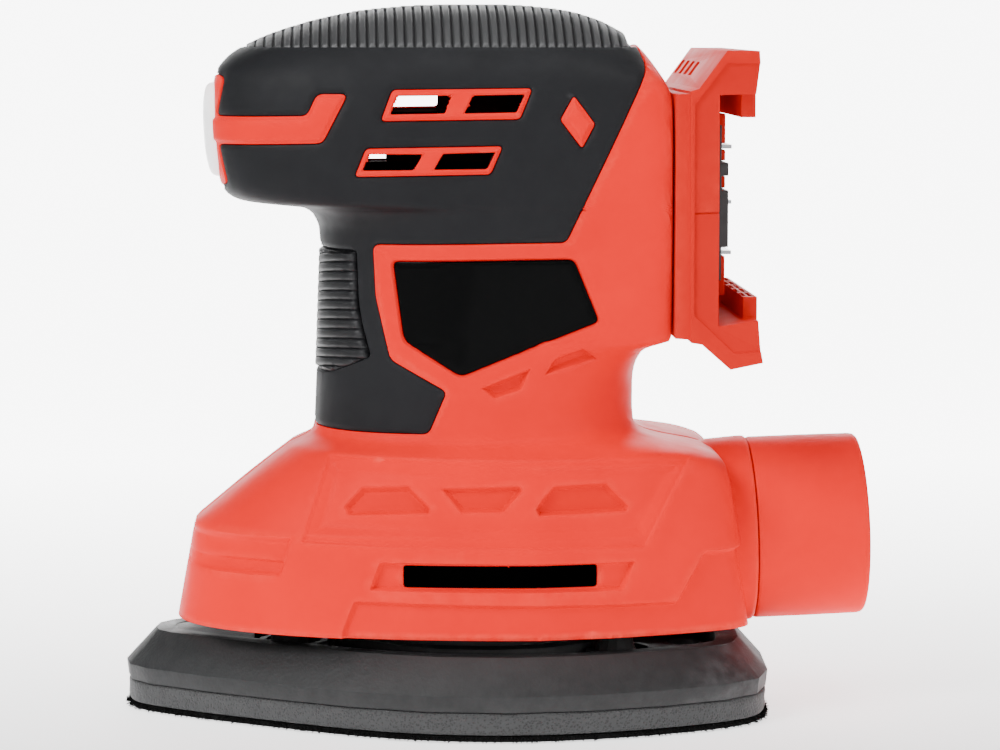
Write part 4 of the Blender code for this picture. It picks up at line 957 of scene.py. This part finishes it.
switch_boot()


# ---------------------------------------------------------------- dust outlet
NECK = (  # along the outlet axis, radius
    (43.0, 19.6), (49.0, 19.7), (51.0, 20.0), (56.0, 20.3), (58.6, 20.4), (59.1, 20.3), (59.4, 20.0),
    (59.4, 18.8), (59.0, 18.6), (43.0, 18.6),
)
NOZZLE = (
    (59.75, 18.6), (59.75, 19.7), (60.0, 19.95), (60.4, 20.05), (72.0, 20.05), (82.6, 19.95), (83.4, 19.8),
    (83.85, 19.4), (84.0, 18.9), (84.0, 18.2), (83.7, 17.8), (83.0, 17.6),
    (60.0, 14.9), (46.0, 14.7), (46.0, 17.0), (50.9, 17.0), (50.9, 15.6), (54.5, 15.6), (54.5, 17.0),
    (59.0, 17.0), (59.0, 18.6),
)


def turned(name, profile, body, segments=96):
    """A closed profile turned about the outlet axis."""
    rings = []
    for along, radius in profile:
        circle = disc(0.0, 0.0, radius, segments)
        rings.append([(along * math.cos(TILT) - up * math.sin(TILT), out,
                       OUTLET_Z + along * math.sin(TILT) + up * math.cos(TILT)) for up, out in circle])
    return ringed(name, rings, ORANGE, body, capped=False)


turned("outlet_neck", NECK, "tool_body")
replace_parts(turned("dust_nozzle_sleeve", NOZZLE, "nozzle"), "dust_nozzle")


# ---------------------------------------------------------------- CAD pieces with finer edges
def refined(node, name, material, radius, cutters=(), segments=3, angle=25, degrees=30):
    """A copy of a CAD node with its flat faces joined, cut where needed, and its edges rounded."""
    mesh = NODES[node].data.copy()
    clean = bmesh.new()
    clean.from_mesh(mesh)
    bmesh.ops.remove_doubles(clean, verts=clean.verts, dist=2e-6)
    bmesh.ops.dissolve_limit(clean, angle_limit=math.radians(1.0), verts=clean.verts, edges=clean.edges)
    clean.to_mesh(mesh)
    clean.free()
    made = linked(name, mesh)
    for cutter in cutters:
        cut = made.modifiers.new("cut", "BOOLEAN")
        cut.object = cutter
        cut.solver = "EXACT"
    edge = made.modifiers.new("edges", "BEVEL")
    edge.width = radius * MM
    edge.segments = segments
    edge.limit_method = "ANGLE"
    edge.angle_limit = math.radians(angle)
    depsgraph = bpy.context.evaluated_depsgraph_get()
    final = bpy.data.meshes.new_from_object(made.evaluated_get(depsgraph))
    made.modifiers.clear()
    made.data = final
    for cutter in cutters:
        bpy.data.objects.remove(cutter)
    final.materials.clear()
    final.materials.append(material)
    soften(final, degrees)
    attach(made, NODES[node]["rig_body"])
    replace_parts(made, node)


DOCK_FIELD = [(60.0, 140.7), (50.0, 140.8), (43.4, 132.3), (43.4, 88.2), (52.0, 80.1), (60.0, 80.6)]
DOCK_PARTING = [(43.4, 109.3), (50.0, 109.5), (50.0, 109.9), (43.4, 109.7)]
DOCK_OUTSIDE = 38.0  # beyond the sides of the dock


def block(corners, low, high):
    """A solid with outline corners (x, z), from low to high along Y, as a cutter."""
    mesh = bpy.data.meshes.new("cutter")
    count = len(corners)
    points = [(x * MM, y * MM, z * MM) for y in (low, high) for x, z in corners]
    faces = [tuple(range(count)), tuple(range(2 * count - 1, count - 1, -1))]
    faces += [(i, i + count, (i + 1) % count + count, (i + 1) % count) for i in range(count)]
    mesh.from_pydata(points, [], faces)
    tidied(mesh)
    return linked("cutter", mesh)


def dock_cutters():
    """Slots, side fields, parting line and rail gaps of the battery dock."""
    cutters = []
    for middle in (31.0, 20.5, 10.0, -0.5):  # slots through the sloped top
        cube = bmesh.new()
        bmesh.ops.create_cube(cube, size=1.0)
        place = Matrix.Translation(Vector((46.9, middle, 139.2)) * MM)
        turn = Matrix.Rotation(math.radians(-53.4), 4, "Y")
        size = Matrix.Diagonal((3.6 * MM, 5.6 * MM, 3.0 * MM, 1.0))
        bmesh.ops.transform(cube, verts=cube.verts, matrix=place @ turn @ size)
        mesh = bpy.data.meshes.new("cutter")
        cube.to_mesh(mesh)
        cube.free()
        cutters.append(linked("cutter", mesh))
    for side in (-1, 1):
        for outline, floor in ((DOCK_FIELD, 35.9), (DOCK_PARTING, 35.5)):
            cutters.append(block(outline, *sorted((side * floor, side * DOCK_OUTSIDE))))
    for x in (54.9, 56.2):  # gaps between the ribs on the lower rail
        for low in (-24.5 + 10.4 * step for step in range(5)):
            cutters.append(block([(x, 90.1), (x + 0.9, 90.1), (x + 0.9, 92.0), (x, 92.0)], low, low + 8.4))
    return cutters


refined("battery_dock", "battery_dock_frame", ORANGE_DOCK, 0.35, dock_cutters())
refined("terminal_block", "terminal_block_body", BLACK, 0.4)


def dock_keys():
    """Steps of the dock wall that show beside the terminals."""
    for i, (low, high) in enumerate(((90.4, 99.0), (113.7, 116.2), (119.6, 121.9), (123.3, 129.7))):
        middle = (low + high) / 2
        outline = rounded_box(12.6, low, high, 0.4, 4)
        rings = [[(x, y * share, (z - middle) * share + middle) for y, z in outline]
                 for x, share in ((51.3, 1.0), (52.2, 1.0), (52.5, 0.97))]
        ringed(f"dock_key_{i + 1}", rings, ORANGE_DOCK, "tool_body")


dock_keys()


# ---------------------------------------------------------------- inner walls that show through the openings, coloured dark as painted shade
SHROUD = ((29.4, 27.0), (29.4, 45.5), (30.6, 45.5), (30.6, 27.0))  # radius, z
SHROUD_STEPS = 80
MIDDLE_WALL = ((-20.5, 118.8), (-20.5, 124.2), (-9.2, 128.0), (-9.2, 137.4), (21.0, 137.4), (21.0, 118.8))


def fan_shroud():
    """Thin ring that leads the air round the fan, hung from the housing floor and open to the outlet,
    near-black as painted shade.
    """
    turn = np.radians(np.linspace(36, 324, SHROUD_STEPS))
    points = [(r * math.cos(a), r * math.sin(a), z) for r, z in SHROUD for a in turn]
    starts = [SHROUD_STEPS * row for row in range(len(SHROUD))]
    faces = grid_faces(len(SHROUD), SHROUD_STEPS)
    faces += [(starts[-1] + i, starts[-1] + i + 1, i + 1, i) for i in range(SHROUD_STEPS - 1)]
    faces += [tuple(starts), tuple(start + SHROUD_STEPS - 1 for start in reversed(starts))]
    mesh_piece("fan_shroud", points, faces, SHADE, "tool_body")


def middle_wall():
    """Web on the middle plane between the vents, with its edges eased."""
    outline = round_corners(MIDDLE_WALL, 1.0)
    rings = [[(x, y, z) for x, z in inset(outline, eased)]
             for eased, y in ((0.35, -0.6), (0.0, -0.3), (0.0, 0.3), (0.35, 0.6))]
    # the web is coloured dark as painted shade
    ringed("middle_wall", rings, INSIDE_SHADE, "tool_body")


fan_shroud()
middle_wall()

# ---------------------------------------------------------------- sanding pad
PAD_HALF = (
    (-79.0, 0.0), (-77.9, 7.0), (-73.8, 12.6), (-61.5, 21.6), (-47.0, 30.6), (-30.0, 40.2), (-14.0, 46.2),
    (3.0, 48.5), (20.0, 46.8), (36.0, 42.4), (50.0, 36.4), (57.5, 30.0), (60.6, 20.0), (61.5, 0.0),
)
PAD_SHIFT = 1.0
NOSE_DECK_REAR = -49.5


def pad_outline(steps=260):
    """The pad's outline as a smooth closed line, evenly spaced."""
    corners = [(x + PAD_SHIFT, y) for x, y in PAD_HALF] + [(x + PAD_SHIFT, -y) for x, y in PAD_HALF[-2:0:-1]]
    p = np.array(corners)
    count = len(p)
    made = []
    for i in range(count):
        a, b, c, d = p[(i - 1) % count], p[i], p[(i + 1) % count], p[(i + 2) % count]
        for s in np.linspace(0, 1, 16, endpoint=False):
            made.append(0.5 * (2 * b + (c - a) * s + (2 * a - 5 * b + 4 * c - d) * s ** 2
                               + (3 * b - a - 3 * c + d) * s ** 3))
    return evenly(np.array(made), steps, closed=True)[0]


PAD_LINE = pad_outline()
PAD_AHEAD = np.roll(PAD_LINE, -1, 0) - np.roll(PAD_LINE, 1, 0)
PAD_NORMAL = PAD_AHEAD[:, ::-1] * (-1, 1) / np.linalg.norm(PAD_AHEAD, axis=1, keepdims=True)  # outwards


def pad_ring(distance, z):
    """The pad's outline moved inwards, at a level."""
    where = PAD_LINE - PAD_NORMAL * distance
    return [(x, y, z) for x, y in where]


DUST_HOLES = ((-52.0, 8.0), (-52.0, -8.0), (-30.0, 22.0), (-30.0, -22.0), (46.0, 16.0), (46.0, -16.0))
HOLE_RADIUS, HOLE_STEPS = 4.0, 28
CAP_SPACING = 6.0  # between the points on the flat ends of a layer
FOAM_LOW, FOAM_HIGH = 1.5, 6.0
FOAM_WALL = (  # inset, z
    (0.95, FOAM_HIGH), (0.62, 5.75), (0.5, 5.2), (0.55, 4.4), (0.6, 3.6), (0.55, 2.8), (0.55, 2.2), (0.7, 1.75),
    (0.95, FOAM_LOW),
)
HOOK_WALL = ((1.3, 1.25), (1.05, 1.1), (1.0, 0.6), (1.1, 0.15), (1.3, 0.0))
FIBRES = 2600


def pad_layer(name, wall, material, rough=None):
    """A layer of the pad: its outer wall from top to bottom, flat ends and dust holes."""
    rings = [pad_ring(d, z) for d, z in wall]
    columns = len(rings[0])
    points = [p for ring in rings for p in ring]
    faces = grid_faces(len(rings), columns, True)
    ends = ((0, wall[0][1]), (len(rings) - 1, wall[-1][1]))
    holes = []
    for x, y in DUST_HOLES:
        hole, start = disc(x + PAD_SHIFT, y, HOLE_RADIUS, HOLE_STEPS), len(points)
        holes.append((hole, start))
        points += [(px, py, z) for _, z in ends for px, py in hole]
        faces += [tuple(start + corner for corner in face) for face in grid_faces(2, HOLE_STEPS, True)]
    for level, (row, z) in enumerate(ends):
        outer = [p[:2] for p in rings[row]]
        flat, index = list(outer), [row * columns + i for i in range(columns)]
        edges = [(i, (i + 1) % columns) for i in range(columns)]
        xs, ys = np.arange(-80, 66, CAP_SPACING), np.arange(-50, 50, CAP_SPACING)
        xs, ys = (a.ravel() for a in np.meshgrid(xs, ys))
        inside = depth_inside(outer, xs, ys) > CAP_SPACING * 0.5
        for hole, start in holes:
            base = len(flat)
            flat += hole
            index += [start + level * HOLE_STEPS + i for i in range(HOLE_STEPS)]
            edges += [(base + i, base + (i + 1) % HOLE_STEPS) for i in range(HOLE_STEPS)]
            inside &= depth_inside(hole, xs, ys) < -CAP_SPACING * 0.4
        grid = list(zip(xs[inside].tolist(), ys[inside].tolist()))
        index += [len(points) + i for i in range(len(grid))]
        points += [(x, y, z) for x, y in grid]
        flat += grid
        made = delaunay_2d_cdt([Vector(p) for p in flat], edges, [], 0, 1e-4)
        origin = [o[0] for o in made[3]]
        triangles = np.array([tuple(origin[v] for v in f) for f in made[2]])
        middle = np.array(flat)[triangles].mean(1)
        inside = depth_inside(outer, middle[:, 0], middle[:, 1]) > 0
        for hole, start in holes:
            inside &= depth_inside(hole, middle[:, 0], middle[:, 1]) < 0
        faces += [tuple(index[v] for v in f) for f in triangles[inside]]
    if rough:
        points = rough(points)
    return mesh_piece(name, points, faces, material, "pad", 40)


def uneven(points, amount=0.12, waves=14):
    """Moves the foam's wall in and out a little, less near the faces that are bonded."""
    draw = np.random.default_rng(3)
    p = np.array(points)
    drawn = [(draw.normal(0, 1, 3) * 0.9, draw.uniform(0, 6.28)) for _ in range(waves)]
    push = sum(np.sin(p @ direction + start) for direction, start in drawn) / waves ** 0.5
    free = np.clip(np.minimum(p[:, 2] - FOAM_LOW, FOAM_HIGH - p[:, 2]) / 0.4, 0.0, 1)
    out = p[:, :2] - (PAD_SHIFT - 8, 0.0)
    out /= np.maximum(np.linalg.norm(out, axis=1, keepdims=True), 1e-6)
    p[:, :2] += out * (push * amount * free)[:, None]
    return p.tolist()


foam_layer = pad_layer("foam_layer", FOAM_WALL, FOAM, uneven)
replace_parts(foam_layer, "foam_pad")
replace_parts(pad_layer("hook_layer", HOOK_WALL, HOOKS), "hook_pad")


def hook_fibres():
    """Short bent fibres that stand out round the edge of the hook layer."""
    draw = np.random.default_rng(11)
    points, faces = [], []
    count, steps, bend = len(PAD_LINE), 3, 1.9
    for _ in range(FIBRES):
        i = draw.integers(count)
        share = draw.random()
        base = PAD_LINE[i] * (1 - share) + PAD_LINE[(i + 1) % count] * share
        normal = PAD_NORMAL[i]
        tangent = np.array((-normal[1], normal[0]))
        start = base - normal * draw.uniform(1.05, 1.35)
        z = draw.uniform(0.25, 1.15)
        reach = draw.uniform(0.6, 1.75)
        lean = draw.uniform(-0.5, 0.5)
        rise = draw.uniform(-0.35, 0.25)
        width = draw.uniform(0.07, 0.15)
        first = len(points)
        for step in range(steps + 1):
            u = step / steps
            x, y = start + normal * reach * math.sin(u * bend) / math.sin(bend) * 0.9 + tangent * lean * u
            height = max(0.06, z + rise * u - 0.15 * u * u)
            points += [(x - tangent[0] * width, y - tangent[1] * width, height),
                       (x + tangent[0] * width, y + tangent[1] * width, height), (x, y, height + width * 1.4)]
        faces += [tuple(first + corner for corner in face) for face in grid_faces(steps + 1, 3, True)]
        faces += [(first, first + 2, first + 1), (first + 9, first + 10, first + 11)]
    mesh_piece("hook_fibres", points, faces, HOOKS, "pad", 60)


hook_fibres()


def pad_decks():
    """The low rim round the top of the pad plate and the flat at its nose."""
    rim = [pad_ring(d, z) for d, z in ((6.9, 16.72), (11.2, 16.72), (11.4, 16.6), (11.4, 15.9), (6.9, 15.9))]
    ringed("pad_deck", rim, PAD_PLASTIC, "pad", capped=False)
    nose = [(x, y) for x, y, z in pad_ring(6.9, 0) if x < NOSE_DECK_REAR]
    first = max(range(len(nose)), key=lambda i: math.dist(nose[i], nose[i - 1]))
    nose = nose[first:] + nose[:first]
    flat = [[(x, y, z) for x, y in inset(nose, d)] for d, z in ((0.0, 15.9), (0.0, 16.55), (0.15, 16.7))]
    ringed("pad_nose_deck", flat, PAD_PLASTIC, "pad")


pad_decks()
refined("pad_plate", "pad_plate_body", PAD_PLASTIC, 0.45, segments=2, angle=28, degrees=40)


# ---------------------------------------------------------------- screw wells of the right half
def screw_wells(steps=32):
    """Tubes from the side of the right half down to the seats of its screws."""
    points, faces = [], []
    for cx, cz in SCREWS:
        outer = half_width(cx, cz)
        bore, rim = disc(cx, cz, WELL_RADIUS, steps), disc(cx, cz, WELL_RADIUS + 0.7, steps)
        start = len(points)
        for loop, y in ((bore, outer - 1.8), (bore, SCREW_SEAT + 0.3), (bore, SCREW_SEAT), (rim, SCREW_SEAT),
                        (rim, outer - 2.2)):
            points += [(x, y, z) for x, z in loop]
        last = 4 * steps
        walls = grid_faces(5, steps, True)
        walls += [(i, (i + 1) % steps, last + (i + 1) % steps, last + i) for i in range(steps)]
        faces += [tuple(start + corner for corner in face) for face in walls]
    # the wells take the darker orange of painted shade
    mesh_piece("screw_wells", points, faces, ORANGE_RECESS_SHADE, "tool_body")


screw_wells()


# ---------------------------------------------------------------- floor, light and camera
def aim(piece, location, target):
    """Places a lamp or camera so that it looks at the target."""
    piece.location = location
    piece.rotation_euler = (Vector(target) - piece.location).to_track_quat("-Z", "Y").to_euler()


def lamp(name, location, target_height, size, power):
    """A rectangular lamp aimed at the middle axis of the tool; lengths in metres, power in watts."""
    data = bpy.data.lights.new(name, "AREA")
    data.shape = "RECTANGLE"
    data.size, data.size_y = size
    data.energy = power
    aim(linked(name, data), location, (0, 0, target_height))


CAMERA_PLACE = (-0.03199, -0.74496, 0.15082)
FLOOR = (  # radius, z in metres
    (0.0, 0.0), (0.4, 0.0), (1.2, 0.0), (1.8, 0.03), (2.3, 0.16), (2.7, 0.45), (2.95, 0.9), (3.0, 1.6),
)
FLOOR_DROP = 0.0002  # keeps it just clear of the tool
GLOW_DISTANCE = 0.745  # in front of the tool, where the lit wedge of the floor starts


def studio_floor():
    """A pale sheet that curves up behind the tool on every side, with painted light: it glows brighter towards
    the back, only within a wedge that opens from a point GLOW_DISTANCE in front of the tool.
    """
    columns = 64
    points = [(x, y, z - FLOOR_DROP) for r, z in FLOOR for x, y in disc(0.0, 0.0, r, columns)]
    mesh = bpy.data.meshes.new("studio_floor")
    mesh.from_pydata(points, [], grid_faces(len(FLOOR), columns, True))
    mesh.shade_smooth()
    g = moulded("studio_paper_painted_glow", (0.82, 0.82, 0.82), 0.8, 1.0, 0.002, 0.004, wave=0.0, specular=0.2)
    split = g.add("ShaderNodeSeparateXYZ", Vector=g.place)
    wedge = g.math("DIVIDE", g.math("ABSOLUTE", split.outputs["X"]),
                   g.math("ADD", split.outputs["Y"], GLOW_DISTANCE))
    # painted light on the floor: the glow rises towards the back and is cut to a wedge
    glow = g.math("MULTIPLY", g.ramp(split.outputs["Y"], 0.7, 7.0, -0.1, 0.4),
                  g.ramp(wedge, 1.0, 0.0, 0.2, 0.34))
    g.set(Emission_Color=(1.0, 1.0, 1.0), Emission_Strength=glow)
    mesh.materials.append(g.material)
    linked("studio_floor", mesh)


studio_floor()
world = bpy.data.worlds.new("studio")
world.use_nodes = True
world.node_tree.nodes["Background"].inputs["Color"].default_value = (1.0, 1.0, 1.0, 1.0)
world.node_tree.nodes["Background"].inputs["Strength"].default_value = 0.12
bpy.context.scene.world = world
lamp("key", (-0.80, -0.70, 0.95), 0.08, (0.6, 0.5), 16.5)
lamp("fill", (0.95, -0.75, 0.45), 0.08, (0.7, 0.7), 4.2)
lamp("top", (0.05, -0.15, 1.1), 0.08, (0.7, 0.5), 5.5)
lamp("rim", (0.3, 0.9, 0.9), 0.1, (0.9, 0.5), 0.9)

camera = linked("camera", bpy.data.cameras.new("camera"))
aim(camera, CAMERA_PLACE, (0.00445, 0.0, 0.07203))
camera.data.lens = 122.7
camera.data.sensor_width = 36.0
bpy.context.scene.camera = camera
